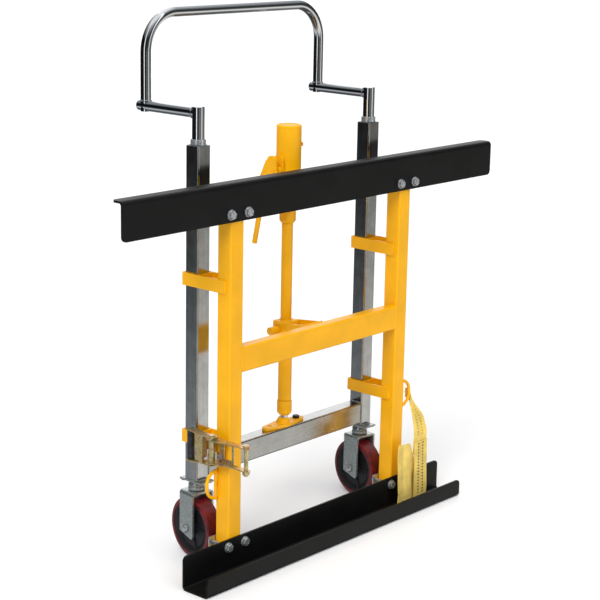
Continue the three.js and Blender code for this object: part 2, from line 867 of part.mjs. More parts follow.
function addValveBlock() {
  const half = valveBlockDepth / 2;
  const lugLow = leverPivotDistance - 8;
  const lugHigh = leverPivotDistance + 8;
  const lugX0 = pumpOffset - fulcrumLugWidth / 2;
  const lugX1 = pumpOffset + fulcrumLugWidth / 2;
  const solid = join(
    alongZ(
      roundedShape(
        pumpOffset - pumpBarrelRadius - 3,
        jackDistance - half,
        reservoirRadius,
        jackDistance + half,
        4,
      ),
      valveBlockBottom,
      valveBlockTop,
      3,
    ),
    turned(
      [
        [0, riserTop + gap],
        [valveCollarRadius - 4, riserTop + gap],
        [valveCollarRadius, riserTop + 6],
        [valveCollarRadius, valveBlockBottom + 1],
        [0, valveBlockBottom + 1],
      ],
      0,
      jackDistance,
    ),
    alongZ(
      circleShape(pumpOffset, pumpPlungerDistance, pumpBarrelRadius),
      valveBlockTop - 1,
      pumpBarrelTop,
      10,
    ),
    block(lugX0, lugX1, lugLow, lugHigh, valveBlockTop - 1, leverPivotHeight),
    alongX(circleShape(leverPivotDistance, leverPivotHeight, 8), lugX0, lugX1, 8),
  );
  const barrelBore = alongZ(
    circleShape(pumpOffset, pumpPlungerDistance, pumpPlungerRadius + gap),
    valveBlockBottom + 8,
    pumpBarrelTop + 60,
    10,
  );
  const pinBore = alongX(
    circleShape(leverPivotDistance, leverPivotHeight, leverPinRadius + gap),
    lugX0 - 1,
    lugX1 + 1,
    8,
  );
  addPart('valve_block', cut(solid, barrelBore, pinBore), yellowPaint);
}

function addReservoir() {
  const bottom = valveBlockTop + gap;
  const inside = reservoirRadius - reservoirWall;
  const shell = turned(
    [
      [inside, bottom],
      [reservoirRadius, bottom],
      [reservoirRadius, reservoirTop - 3],
      [reservoirRadius - 2, reservoirTop],
      [0, reservoirTop],
      [0, reservoirTop - reservoirWall],
      [inside, reservoirTop - reservoirWall],
      [inside, bottom],
    ],
    0,
    jackDistance,
    36,
  );
  addPart('oil_reservoir', shell, yellowPaint);
  const start = reservoirRadius + gap;
  const plug = alongX(hexagonShape(0, 0, 9), start, start + 4);
  plug.rotateZ(THREE.MathUtils.degToRad(-35));
  plug.translate(0, jackDistance, reservoirTop - 47);
  addPart('filler_plug', plug, yellowPaint);
}

// The pump lever: two ears on a cross pin, and a socket rod that hangs down behind when it is at rest.
function addPump() {
  const inner = leverEarGap / 2;
  const outer = inner + leverEarThickness;
  const [rootBack, rootZ] = leverRodRoot;
  const [endBack, endZ] = leverRodEnd;
  const rootY = jackDistance + rootBack;
  const endY = jackDistance + endBack;
  const ear = new THREE.Shape();
  ear.moveTo(leverPivotDistance - 9, leverPivotHeight - 6);
  ear.lineTo(rootY - 4, rootZ - 12);
  ear.lineTo(rootY + 6, rootZ + 2);
  ear.lineTo(leverPivotDistance + 26, leverPivotHeight + 22);
  ear.absarc(leverPivotDistance + 8, leverPivotHeight + 20, 15, 0.3, Math.PI, false);
  const ears = [-1, 1].map((way) => {
    const x0 = pumpOffset + Math.min(way * inner, way * outer);
    return alongX(ear, x0, x0 + leverEarThickness, 5);
  });
  const pin = alongX(
    circleShape(leverPivotDistance, leverPivotHeight, leverPinRadius),
    pumpOffset - outer - 2,
    pumpOffset + outer,
    8,
  );
  const bridge = alongX(
    circleShape(rootY, rootZ - 3, 8),
    pumpOffset - outer,
    pumpOffset + outer,
    6,
  );
  const length = Math.hypot(endY - rootY, endZ - rootZ);
  const rod = alongZ(circleShape(0, 0, leverRodRadius), -length, 0, 7);
  rod.rotateX(Math.atan2(endY - rootY, rootZ - endZ));
  rod.translate(pumpOffset, rootY, rootZ);
  addPart('pump_lever', join(...ears, pin, bridge, rod), yellowPaint);

  addPart(
    'pump_plunger',
    alongZ(
      circleShape(pumpOffset, pumpPlungerDistance, pumpPlungerRadius),
      valveBlockBottom + 12,
      pumpPlungerTop,
      8,
    ),
    chromedSteel,
  );

  const start = reservoirRadius + gap;
  const knob = join(
    alongX(circleShape(jackDistance, releaseKnobHeight, 5), start, start + 9, 7),
    alongX(circleShape(jackDistance, releaseKnobHeight, releaseKnobRadius), start + 8, start + 20, 12),
    alongX(circleShape(jackDistance, releaseKnobHeight - releaseKnobRadius, 4), start + 8, start + 20, 6),
  );
  addPart('release_knob', knob, yellowPaint);
}

// ---- Ratchet buckle ----

function addRatchet() {
  const face = -(uprightX + uprightSize / 2);
  const webInside = face - ratchetStandOff;
  const webOutside = webInside - ratchetPlate;
  const lip = webInside - ratchetDepth;
  const low = ratchetHeight - ratchetWidth / 2;
  const high = ratchetHeight + ratchetWidth / 2;
  const axis = lip + 10;
  const webBack = mandrelDistance - mandrelRadius - 3;
  const web = block(webOutside, webInside, mandrelDistance - 56, webBack, low, high);
  const barX = (lip + 8 + webInside) / 2;
  const nose = (webInside - lip - 8) / 2;
  const cheek = new THREE.Shape();
  cheek.absarc(barX, ratchetFront + nose, nose, Math.PI, 2 * Math.PI, false);
  cheek.lineTo(webInside, ratchetBack);
  cheek.lineTo(lip + 6, ratchetBack);
  cheek.lineTo(lip, ratchetBack - 8);
  cheek.lineTo(lip, mandrelDistance - 30);
  cheek.lineTo(lip + 8, mandrelDistance - 50);
  const cheeks = [low, high - ratchetPlate].map((z) => alongZ(cheek, z, z + ratchetPlate, 5));
  const mandrelCircle = circleShape(axis, mandrelDistance, mandrelRadius + gap);
  const mandrelHole = alongZ(mandrelCircle, low - 1, high + 1, 10);
  const barHole = alongZ(circleShape(barX, endBarDistance, endBarRadius + gap), low - 1, high + 1, 8);
  const mountHole = alongX(
    circleShape(mountBoltDistance, mountBoltHeight, 5 + gap),
    webOutside - 1,
    webInside + 1,
    8,
  );
  const windowStart = mandrelDistance - 50;
  const window = block(
    webOutside - 1,
    webInside + 1,
    windowStart,
    windowStart + webWindowLength,
    ratchetHeight - webWindowHeight / 2,
    ratchetHeight + webWindowHeight / 2,
  );
  addPart(
    'ratchet_frame',
    cut(join(web, ...cheeks), mandrelHole, barHole, mountHole, window),
    goldZinc,
  );

  const bar = join(
    alongZ(circleShape(barX, endBarDistance, endBarRadius), low - 11, high + 1, 8),
    alongZ(hexagonShape(barX, endBarDistance, 15), high + gap, high + 6),
    alongZ(hexagonShape(barX, endBarDistance, 15), low - 8, low - gap),
  );
  addPart('ratchet_end_bar', bar, goldZinc);

  const mount = join(
    alongX(circleShape(mountBoltDistance, mountBoltHeight, 8), webInside + gap, face - gap, 9),
    alongX(circleShape(mountBoltDistance, mountBoltHeight, 5), webOutside - 1, face - gap, 8),
    alongX(hexagonShape(mountBoltDistance, mountBoltHeight, 13), webOutside - 5, webOutside - gap),
  );
  addPart('ratchet_mount_bolt', mount, boltSteel);

  // The mandrel: a slotted spool with a toothed wheel at each end, outside the frame's cheeks.
  const spool = alongZ(
    circleShape(axis, mandrelDistance, mandrelRadius),
    low - mandrelOverhang,
    high + mandrelOverhang,
    10,
  );
  const aboutMandrel = (radius, angle) => [
    axis + radius * Math.cos(angle),
    mandrelDistance + radius * Math.sin(angle),
  ];
  const toothPoints = [];
  for (let i = 0; i < ratchetTeeth; i += 1) {
    const tip = (2 * Math.PI * i) / ratchetTeeth;
    const root = tip + (2 * Math.PI * 0.75) / ratchetTeeth;
    toothPoints.push(aboutMandrel(toothTipRadius, tip));
    toothPoints.push(aboutMandrel(toothRootRadius, root));
  }
  const wheels = [low - gap - toothedWheelThickness, high + gap].map((z) =>
    alongZ(shapeOf(toothPoints), z, z + toothedWheelThickness),
  );
  const slot = block(
    axis - mandrelSlot / 2,
    axis + mandrelSlot / 2,
    mandrelDistance - 9,
    mandrelDistance + 9,
    low + 4,
    high - 4,
  );
  addPart('ratchet_mandrel', cut(join(spool, ...wheels), slot), goldZinc);

  // The handle: two flared arms, turning on the mandrel's ends, joined by the grip's rod and a cross plate.
  const armLow = low - 4;
  const armHigh = high + 4;
  const gripLow = ratchetHeight - gripLength / 2;
  const gripHigh = ratchetHeight + gripLength / 2;
  const crossPlace = mandrelDistance + 22;
  const flareEnd = gripDistance - gripRadius - 3;
  const armOutline = (inside, outside) => {
    const plate = Math.sign(outside - inside) * ratchetPlate;
    return shapeOf([
      [mandrelDistance - 13, inside],
      [crossPlace + 8, inside],
      [flareEnd, outside],
      [gripDistance + 6, outside],
      [gripDistance + 6, outside + plate],
      [flareEnd, outside + plate],
      [crossPlace + 8, inside + plate],
      [mandrelDistance - 13, inside + plate],
    ]);
  };
  const arms = [
    alongX(armOutline(armHigh, gripHigh + gap), axis - 13, axis + 9),
    alongX(armOutline(armLow, gripLow - gap), axis - 13, axis + 9),
  ];
  const cross = block(axis - 13, axis - 10.5, crossPlace - 4, crossPlace + 8, armLow - 1, armHigh + 1);
  const gripRod = alongZ(circleShape(axis - 2, gripDistance, 4), gripLow - 2, gripHigh + 2, 7);
  const armHoles = alongZ(
    circleShape(axis, mandrelDistance, mandrelRadius + gap),
    low - 30,
    high + 30,
    10,
  );
  addPart('ratchet_handle', cut(join(...arms, cross, gripRod), armHoles), goldZinc);
  const gripSleeve = hollow(
    circleShape(axis - 2, gripDistance, gripRadius),
    circleShape(axis - 2, gripDistance, 4 + gap),
  );
  addPart('ratchet_grip', alongZ(gripSleeve, gripLow, gripHigh, 9), blackRubber);

  // The pawl: a plate between the handle's arms that slides along them, away from the wheels.
  const pawl = join(
    block(axis - 8.5, axis - 6, mandrelDistance + 18, mandrelDistance + 46, armLow + gap, armHigh - gap),
    block(axis - 6.5, axis + 3, mandrelDistance + 18, mandrelDistance + 21, low + 8, high - 8),
  );
  addPart('ratchet_pawl', pawl, goldZinc);
}

// ---- Webbing strap, as plain solids that hold its place ----

function addStrap() {
  const hang = alongY(
    shapeOf([
      [332, 305],
      [345, 305],
      [368, 276],
      [392, 240],
      [401, 205],
      [402, strapBundleTop + 2],
      [352, strapBundleTop + 2],
      [352, 215],
      [345, 262],
      [332, 290],
    ]),
    14,
    32,
  );
  addPart('strap_hang', hang, paleWebbing);
  const floor = plateThickness + gap;
  const front = 4;
  const back = boltHeadFront - 1;
  const right = strapBundleRight;
  const tail = shapeOf([
    [right - strapWidth, floor],
    [right - 3, floor],
    [right - 6, 90],
    [right, strapBundleTop],
    [right - strapWidth, strapBundleTop],
  ]);
  const lobe = new THREE.Shape();
  lobe.moveTo(288, floor);
  lobe.lineTo(right - strapWidth + 1, floor);
  lobe.lineTo(right - strapWidth + 1, 140);
  const foldMiddle = strapFoldLeft + strapFoldRadius;
  lobe.absarc(foldMiddle, strapBundleTop - strapFoldRadius, strapFoldRadius, 0, Math.PI, false);
  lobe.lineTo(strapFoldLeft + 4, 70);
  addPart(
    'strap_bundle',
    join(alongY(tail, front, back), alongY(lobe, front, back, 6)),
    paleWebbing,
  );
}

addUprights();
addCrossbar();
addGuides();
addTopBeam();
addToeChannel();
addClamps();
addLoop('loop_left', -1, uprightBack - loopRodRadius, leftLoopHeight);
addLoop('loop_right', 1, frontFace + guideStart - gap - loopRodRadius, rightLoopHeight);
addPosts();
addBaseBar();
addCasterMounts();
addCasters();
addHandle();
addFootAndRam();
addCylinder();
addJackBracket();
addValveBlock();
addReservoir();
addPump();
addRatchet();
addStrap();

export default object;
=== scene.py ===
"""Finished pieces of a hydraulic panel mover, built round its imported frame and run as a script."""

import json
import math

import bmesh
import bpy
from mathutils import Matrix, Vector


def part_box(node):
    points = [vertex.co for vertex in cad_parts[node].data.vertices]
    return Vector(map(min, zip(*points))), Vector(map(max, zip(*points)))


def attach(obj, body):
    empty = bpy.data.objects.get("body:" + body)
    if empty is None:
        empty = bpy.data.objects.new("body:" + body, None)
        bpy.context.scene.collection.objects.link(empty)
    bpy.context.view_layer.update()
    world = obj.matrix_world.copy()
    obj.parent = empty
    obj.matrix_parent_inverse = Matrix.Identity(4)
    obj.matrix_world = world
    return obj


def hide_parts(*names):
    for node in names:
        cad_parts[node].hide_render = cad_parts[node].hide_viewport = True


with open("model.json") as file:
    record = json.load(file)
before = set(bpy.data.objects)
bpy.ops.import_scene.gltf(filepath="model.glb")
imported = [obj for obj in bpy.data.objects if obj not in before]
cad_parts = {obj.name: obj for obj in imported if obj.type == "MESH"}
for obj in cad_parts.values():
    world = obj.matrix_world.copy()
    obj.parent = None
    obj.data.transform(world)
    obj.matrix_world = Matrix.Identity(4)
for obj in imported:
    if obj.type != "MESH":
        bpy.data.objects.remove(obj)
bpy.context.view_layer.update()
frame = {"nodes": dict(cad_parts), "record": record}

bl_info = {
    "name": "Hydraulic Panel Mover",
    "version": (1, 0, 0),
    "blender": (4, 5, 0),
    "location": "View3D > Sidebar > Panel Mover",
    "description": "Builds the finished pieces of a hydraulic panel mover round its packed frame",
    "category": "Add Mesh",
}

MM = 0.001
X, Y, Z = Vector((1, 0, 0)), Vector((0, 1, 0)), Vector((0, 0, 1))
SIDES = (("left", -1), ("right", 1))
CAD = frame["nodes"]
BODY_OF = {node: body for body, nodes in frame["record"]["behaviour"]["bodies"].items() for node in nodes}
SLOT_OF = {row["node"]: row["material_slot"] for row in frame["record"]["subparts"]}


# ---- Sizes and colours that a user would change ----


class PaintSettings(bpy.types.PropertyGroup):
    """Colours of the painted, plated and woven finishes."""

    enamel: bpy.props.StringProperty(
        name="Enamel", description="Lift frame and jack, sRGB hex", default="F2AF06"
    )
    powder: bpy.props.StringProperty(
        name="Powder coat", description="Beam and channel, sRGB hex", default="0E0E0E"
    )
    tread: bpy.props.StringProperty(
        name="Tread", description="Polyurethane tread, sRGB hex", default="64141A"
    )
    passivate: bpy.props.StringProperty(
        name="Gold zinc", description="Ratchet buckle, sRGB hex", default="E2CF96"
    )
    webbing: bpy.props.StringProperty(
        name="Webbing", description="Woven polyester, sRGB hex", default="E9C964"
    )


class EdgeSettings(bpy.types.PropertyGroup):
    """Widths of eased edges and weld beads."""

    plate_edge: bpy.props.FloatProperty(
        name="Plate edge", description="Ease on sheared plate edges, in mm", default=0.7, min=0.1, max=2
    )
    machined_edge: bpy.props.FloatProperty(
        name="Machined edge", description="Ease on turned and forged edges, in mm",
        default=0.5, min=0.1, max=2,
    )
    weld_radius: bpy.props.FloatProperty(
        name="Weld bead", description="Radius of a fillet weld's bead, in mm", default=2.4, min=1, max=5
    )


class StrapSettings(bpy.types.PropertyGroup):
    """The webbing strap."""

    width: bpy.props.FloatProperty(
        name="Width", description="Width of the webbing, in mm", default=50, min=20
    )
    thickness: bpy.props.FloatProperty(
        name="Thickness", description="Of one layer, in mm", default=2.2, min=1
    )


class StageSettings(bpy.types.PropertyGroup):
    """Floor and light."""

    floor: bpy.props.StringProperty(name="Floor", description="Floor colour, sRGB hex", default="F6F6F6")
    key: bpy.props.FloatProperty(
        name="Key light", description="Strength of the soft key light", default=2.1, min=0
    )
    fill: bpy.props.FloatProperty(
        name="Fill light", description="Strength of the light all round", default=1, min=0
    )


def settings(group):
    """One group of the scene's settings."""
    return getattr(bpy.context.scene, "mover_" + group)


# ---- Materials ----


def linear(text):
    """An sRGB hex value as linear red, green, blue and alpha."""
    parts = [int(text[i : i + 2], 16) / 255 for i in (0, 2, 4)]
    return [c / 12.92 if c <= 0.04045 else ((c + 0.055) / 1.055) ** 2.4 for c in parts] + [1]


def add_node(tree, kind, links=None, values=None, **options):
    """Adds a node with its options, its input values and the links into it."""
    node = tree.nodes.new(kind)
    for name, value in options.items():
        setattr(node, name, value)
    for name, value in (values or {}).items():
        node.inputs[name].default_value = value
    for name, source in (links or {}).items():
        tree.links.new(source, node.inputs[name])
    return node


def new_material(name, base, metallic, roughness, **sockets):
    """A material of one Principled shader, with its constant sockets set directly."""
    material = bpy.data.materials.new(name)
    material.use_nodes = True
    tree = material.node_tree
    shader = tree.nodes["Principled BSDF"]
    shader.inputs["Base Color"].default_value = linear(base)
    shader.inputs["Metallic"].default_value = metallic
    shader.inputs["Roughness"].default_value = roughness
    for socket, value in sockets.items():
        shader.inputs[socket.replace("_", " ").title()].default_value = value
    return material, tree, shader


def object_noise(tree, size, detail=2, stretch=(1, 1, 1)):
    """Noise with features of one size in millimetres, stretched along the axes."""
    place = add_node(tree, "ShaderNodeTexCoord")
    scale = [1 / s for s in stretch]
    mapped = add_node(tree, "ShaderNodeMapping", {"Vector": place.outputs["Object"]}, {"Scale": scale})
    noise_scale = 1 / (size * MM)
    return add_node(
        tree, "ShaderNodeTexNoise", {"Vector": mapped.outputs[0]}, {"Scale": noise_scale, "Detail": detail}
    )


def mix_colours(tree, factor, low, high, start=0.35, end=0.65):
    """Two colours, one giving way to the other as the factor goes from start to end."""
    ramp = add_node(tree, "ShaderNodeValToRGB", {"Fac": factor})
    ramp.color_ramp.elements[0].position = start
    ramp.color_ramp.elements[0].color = linear(low)
    ramp.color_ramp.elements[1].position = end
    ramp.color_ramp.elements[1].color = linear(high)
    return ramp.outputs["Color"]


def vary(tree, factor, low, high):
    """A number between low and high as the factor goes from 0 to 1."""
    values = {"To Min": low, "To Max": high, "From Min": 0.3, "From Max": 0.7}
    span = add_node(tree, "ShaderNodeMapRange", {"Value": factor}, values)
    return span.outputs["Result"]


def relief(tree, shader, height, depth, strength=1.0, under=None):
    """Bump of a depth in millimetres."""
    links = {"Height": height}
    if under is not None:
        links["Normal"] = under
    bump = add_node(tree, "ShaderNodeBump", links, {"Distance": depth * MM, "Strength": strength})
    tree.links.new(bump.outputs["Normal"], shader.inputs["Normal"])
    return bump.outputs["Normal"]


def shade_of(text, share):
    """The hex colour made darker or lighter by a share."""
    return "".join(f"{max(0, min(255, round(int(text[i : i + 2], 16) * share))):02X}" for i in (0, 2, 4))


def yellow_enamel():
    """Sprayed gloss enamel: a slight orange peel breaks up its reflections."""
    paint = settings("paint").enamel
    material, tree, shader = new_material("Sprayed yellow enamel", paint, 0, 0.36, coat_weight=0.08)
    shader.inputs["Specular IOR Level"].default_value = 0.26
    shader.inputs["Coat Roughness"].default_value = 0.12
    cloud = object_noise(tree, 90, 3)
    colour = mix_colours(tree, cloud.outputs[0], shade_of(paint, 0.965), shade_of(paint, 1.02))
    tree.links.new(colour, shader.inputs["Base Color"])
    tree.links.new(vary(tree, cloud.outputs[0], 0.32, 0.42), shader.inputs["Roughness"])
    # Orange peel is about 1 mm across on the real paint, and is drawn 3 mm across so that it shows.
    relief(tree, shader, object_noise(tree, 3).outputs[0], 0.05, 0.35)
    return material


def black_powder_coat():
    """Baked powder coat: semi-gloss with a fine pebbled surface."""
    paint = settings("paint").powder
    material, tree, shader = new_material("Baked black powder coat", paint, 0, 0.44)
    shader.inputs["Specular IOR Level"].default_value = 0.22
    grain = object_noise(tree, 2.2, 4)
    tree.links.new(vary(tree, grain.outputs[0], 0.38, 0.52), shader.inputs["Roughness"])
    dust = object_noise(tree, 60, 5)
    colour = mix_colours(tree, dust.outputs[0], shade_of(paint, 0.85), shade_of(paint, 1.35), 0.3, 0.75)
    tree.links.new(colour, shader.inputs["Base Color"])
    relief(tree, shader, grain.outputs[0], 0.06, 0.5)
    return material


def zinc_plate(name, along, dark, light, smooth, dull):
    """Bright zinc on drawn tube: long faint draw lines and small cloudy patches of passivate."""
    material, tree, shader = new_material(name, dark, 1, smooth)
    lines = object_noise(tree, 2.8, 3, [50 if i == along else 1 for i in range(3)])
    clouds = object_noise(tree, 26, 4)
    blend = add_node(
        tree, "ShaderNodeMath", {0: lines.outputs[0], 1: clouds.outputs[0]}, operation="ADD"
    )
    half = add_node(tree, "ShaderNodeMath", {0: blend.outputs[0]}, {1: 0.5}, operation="MULTIPLY")
    tree.links.new(mix_colours(tree, half.outputs[0], dark, light), shader.inputs["Base Color"])
    tree.links.new(vary(tree, half.outputs[0], smooth, dull), shader.inputs["Roughness"])
    relief(tree, shader, lines.outputs[0], 0.02, 0.15)
    return material


def zinc_pressing():
    """Zinc-plated pressed steel: dull and even, with a fine spangle."""
    material, tree, shader = new_material("Zinc plated pressing", "B4BAB8", 0.85, 0.3)
    spangle = object_noise(tree, 5, 3)
    tree.links.new(mix_colours(tree, spangle.outputs[0], "A9B0AE", "C6CCCA"), shader.inputs["Base Color"])
    tree.links.new(vary(tree, spangle.outputs[0], 0.25, 0.38), shader.inputs["Roughness"])
    relief(tree, shader, spangle.outputs[0], 0.03, 0.3)
    return material


def chrome_plate():
    """Polished chrome over steel tube: mirror bright, with faint handling smears."""
    material, tree, shader = new_material("Polished chrome plate", "DADDE0", 1, 0.07)
    smears = object_noise(tree, 30, 3, (1, 1, 4))
    tree.links.new(vary(tree, smears.outputs[0], 0.05, 0.12), shader.inputs["Roughness"])
    return material


def fastener_zinc():
    """Clear zinc on rolled and forged fasteners: bright and slightly blue."""
    material, tree, shader = new_material("Clear zinc fastener", "B4BAC0", 0.8, 0.27)
    haze = object_noise(tree, 4, 3)
    tree.links.new(mix_colours(tree, haze.outputs[0], "B0B6BB", "D6DADC"), shader.inputs["Base Color"])
    tree.links.new(vary(tree, haze.outputs[0], 0.2, 0.36), shader.inputs["Roughness"])
    return material


def gold_zinc():
    """Yellow-passivated zinc: straw gold that drifts to pink and green over each pressing."""
    gold = settings("paint").passivate
    material, tree, shader = new_material("Yellow passivated zinc", gold, 0.8, 0.3)
    drift = object_noise(tree, 22, 2)
    ramp = add_node(tree, "ShaderNodeValToRGB", {"Fac": drift.outputs[0]})
    ramp.color_ramp.elements[0].position = 0.3
    ramp.color_ramp.elements[0].color = linear("A9A274")
    ramp.color_ramp.elements[1].position = 0.7
    ramp.color_ramp.elements[1].color = linear("C9987C")
    middle = ramp.color_ramp.elements.new(0.5)
    middle.color = linear(gold)
    tree.links.new(ramp.outputs["Color"], shader.inputs["Base Color"])
    fine = object_noise(tree, 3, 3)
    tree.links.new(vary(tree, fine.outputs[0], 0.22, 0.38), shader.inputs["Roughness"])
    relief(tree, shader, fine.outputs[0], 0.03, 0.25)
    return material


def polyurethane():
    """Cast polyurethane: satin, deep red, darker where dust has worked in."""
    red = settings("paint").tread
    material, tree, shader = new_material("Cast red polyurethane", red, 0, 0.34, coat_weight=0.2)
    scuffs = object_noise(tree, 18, 4)
    colour = mix_colours(tree, scuffs.outputs[0], shade_of(red, 0.72), shade_of(red, 1.12))
    tree.links.new(colour, shader.inputs["Base Color"])
    tree.links.new(vary(tree, scuffs.outputs[0], 0.28, 0.45), shader.inputs["Roughness"])
    relief(tree, shader, object_noise(tree, 2, 2).outputs[0], 0.04, 0.3)
    return material


def black_iron():
    """Black painted grey iron: a cast skin under thin paint."""
    material, tree, shader = new_material("Black painted iron", "1E1D20", 0.1, 0.42)
    skin = object_noise(tree, 3, 4)
    tree.links.new(vary(tree, skin.outputs[0], 0.34, 0.5), shader.inputs["Roughness"])
    relief(tree, shader, skin.outputs[0], 0.15, 0.5)
    return material


def grip_rubber():
    """Moulded rubber sleeve: matt, with a faint bloom."""
    material, tree, shader = new_material("Moulded black rubber", "2B2C2F", 0, 0.6)
    bloom = object_noise(tree, 8, 4)
    tree.links.new(mix_colours(tree, bloom.outputs[0], "242528", "36373B"), shader.inputs["Base Color"])
    relief(tree, shader, object_noise(tree, 1.5, 2).outputs[0], 0.05, 0.4)
    return material


def woven_webbing():
    """Woven polyester webbing: herringbone ribs along its length and a soft sheen.
    The strap's own UV map holds millimetres: U across the width, V along the length."""
    straw = settings("paint").webbing
    material, tree, shader = new_material("Woven polyester webbing", straw, 0, 0.78, sheen_weight=0.35)
    shader.inputs["Sheen Roughness"].default_value = 0.4
    place = add_node(tree, "ShaderNodeTexCoord")
    split = add_node(tree, "ShaderNodeSeparateXYZ", {"Vector": place.outputs["UV"]})
    across, along = split.outputs["X"], split.outputs["Y"]
    # Ribs are 1.2 mm apart on real webbing, and are drawn 3.1 mm apart so that they show.
    rib = math.tau / 3.1
    pick = math.tau / 2.6
    zigzag = add_node(tree, "ShaderNodeMath", {0: across}, {1: 6.2}, operation="PINGPONG")
    slant = add_node(tree, "ShaderNodeMath", {0: along, 1: zigzag.outputs[0]}, operation="ADD")
    picks = add_node(tree, "ShaderNodeMath", {0: slant.outputs[0]}, {1: pick}, operation="MULTIPLY")
    picked = add_node(tree, "ShaderNodeMath", {0: picks.outputs[0]}, operation="SINE")
    ribs = add_node(tree, "ShaderNodeMath", {0: across}, {1: rib}, operation="MULTIPLY")
    ribbed = add_node(tree, "ShaderNodeMath", {0: ribs.outputs[0]}, operation="COSINE")
    weave = add_node(tree, "ShaderNodeMath", {0: picked.outputs[0], 1: ribbed.outputs[0]}, operation="ADD")
    level = add_node(
        tree, "ShaderNodeMath", {0: weave.outputs[0]}, {1: 0.25, 2: 0.5}, operation="MULTIPLY_ADD"
    )
    soil = object_noise(tree, 35, 3)
    mixed = add_node(tree, "ShaderNodeMath", {0: level.outputs[0], 1: soil.outputs[0]}, operation="ADD")
    tone = add_node(tree, "ShaderNodeMath", {0: mixed.outputs[0]}, {1: 0.5}, operation="MULTIPLY")
    colour = mix_colours(tree, tone.outputs[0], shade_of(straw, 0.78), shade_of(straw, 1.1), 0.32, 0.6)
    tree.links.new(colour, shader.inputs["Base Color"])
    relief(tree, shader, level.outputs[0], 0.5, 0.6)
    return material


def thread(name, dark, light):
    """Bonded nylon thread: matt, with the twist of its plies."""
    material, tree, shader = new_material(name, dark, 0, 0.7)
    twist = object_noise(tree, 1, 2)
    tree.links.new(mix_colours(tree, twist.outputs[0], dark, light), shader.inputs["Base Color"])
    return material


MAKERS = {
    "yellow_enamel": yellow_enamel,
    "black_powder_coat": black_powder_coat,
    "zinc_upright": lambda: zinc_plate("Bright zinc on upright tube", 2, "B2B4B3", "CDCECC", 0.12, 0.2),
    "zinc_cross": lambda: zinc_plate("Clouded zinc on cross tube", 0, "AEAFAC", "CACBC8", 0.18, 0.3),
    "zinc_plated_steel": zinc_pressing,
    "chrome_plate": chrome_plate,
    "bolt_steel": fastener_zinc,
    "gold_zinc": gold_zinc,
    "polyurethane_tread": polyurethane,
    "black_iron": black_iron,
    "grip_rubber": grip_rubber,
    "polyester_webbing": woven_webbing,
    "stitch_thread": lambda: thread("Bonded brown thread", "1E1606", "33260E"),
    "pale_thread": lambda: thread("Bonded straw thread", "A8862E", "C09A3C"),
}
made_materials = {}


def finish_of(key):
    if key not in made_materials:
        made_materials[key] = MAKERS[key]()
    return made_materials[key]


# ---- Mesh helpers ----


def emit(bm, name, like, replaced=(), finish=None, smooth=35, even=True):
    """Makes a piece of a bmesh: it rides with the body of the node it is like, and takes the finish of that
    node's slot unless another finish is given.
    """
    bmesh.ops.remove_doubles(bm, verts=bm.verts, dist=1e-6)
    bmesh.ops.recalc_face_normals(bm, faces=bm.faces)
    mesh = bpy.data.meshes.new(name)
    bm.to_mesh(mesh)
    bm.free()
    mesh.shade_smooth()
    mesh.set_sharp_from_angle(angle=math.radians(smooth))
    mesh.materials.append(finish_of(finish or SLOT_OF[like]))
    piece = bpy.data.objects.new(name, mesh)
    bpy.context.scene.collection.objects.link(piece)
    if even:
        piece.modifiers.new("Even shading", "WEIGHTED_NORMAL").keep_sharp = True
    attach(piece, BODY_OF[like])
    if replaced:
        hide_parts(*replaced)
    return piece


def stand_in_for(bm, node, **options):
    """The finished piece of one CAD node."""
    return emit(bm, node + "_fine", node, replaced=(node,), **options)


def ease(bm, width, segments=2, angle=30, edges=None):
    """Rounds the edges that turn by more than an angle."""
    picked = bm.edges if edges is None else edges
    least = math.radians(angle)
    sharp = [e for e in picked if e.is_valid and len(e.link_faces) == 2 and e.calc_face_angle() > least]
    if sharp:
        bmesh.ops.bevel(
            bm,
            geom=sharp,
            offset=width * MM,
            segments=segments,
            profile=0.5,
            affect="EDGES",
            material=-1,
            clamp_overlap=True,
        )


def copy_of(node):
    """A merged copy of a CAD node, with its flat faces whole again."""
    bm = bmesh.new()
    bm.from_mesh(CAD[node].data)
    bmesh.ops.remove_doubles(bm, verts=bm.verts, dist=2e-6)
    bmesh.ops.dissolve_limit(bm, angle_limit=math.radians(1), verts=bm.verts, edges=bm.edges)
    return bm


def refined(node, width, segments=2, angle=30, **options):
    bm = copy_of(node)
    ease(bm, width, segments, angle)
    return stand_in_for(bm, node, **options)


def turned(bm, profile, origin, axis, steps=48):
    """Spins a profile of (radius, height) points in millimetres once round an axis."""
    out = axis.orthogonal().normalized()
    verts = [bm.verts.new(origin + axis * (h * MM) + out * (r * MM)) for r, h in profile]
    edges = [bm.edges.new(pair) for pair in zip(verts, verts[1:])]
    bmesh.ops.spin(
        bm, geom=verts + edges, cent=origin, axis=axis, angle=math.tau, steps=steps, use_merge=True
    )
    bmesh.ops.remove_doubles(bm, verts=bm.verts, dist=1e-6)


def closed_turning(profile, origin, axis, steps=48, width=0.5, segments=3, angle=25):
    """A turned solid of its own, with its ring edges eased."""
    bm = bmesh.new()
    turned(bm, profile, origin, axis, steps)
    bmesh.ops.recalc_face_normals(bm, faces=bm.faces)
    ease(bm, width, segments, angle)
    return bm


def prism(bm, outline, origin, across, up, depth):
    """Extrudes an outline of (across, up) points in millimetres by a depth vector."""
    verts = [bm.verts.new(origin + across * (a * MM) + up * (b * MM)) for a, b in outline]
    face = bm.faces.new(verts)
    made = bmesh.ops.extrude_face_region(bm, geom=[face])
    moved = [g for g in made["geom"] if isinstance(g, bmesh.types.BMVert)]
    bmesh.ops.translate(bm, verts=moved, vec=depth)


def hexagon(across):
    """A hexagon's outline, from its width across the flats."""
    corner = across / math.sqrt(3)
    turns = [math.radians(60 * i + 30) for i in range(6)]
    return [(corner * math.cos(turn), corner * math.sin(turn)) for turn in turns]


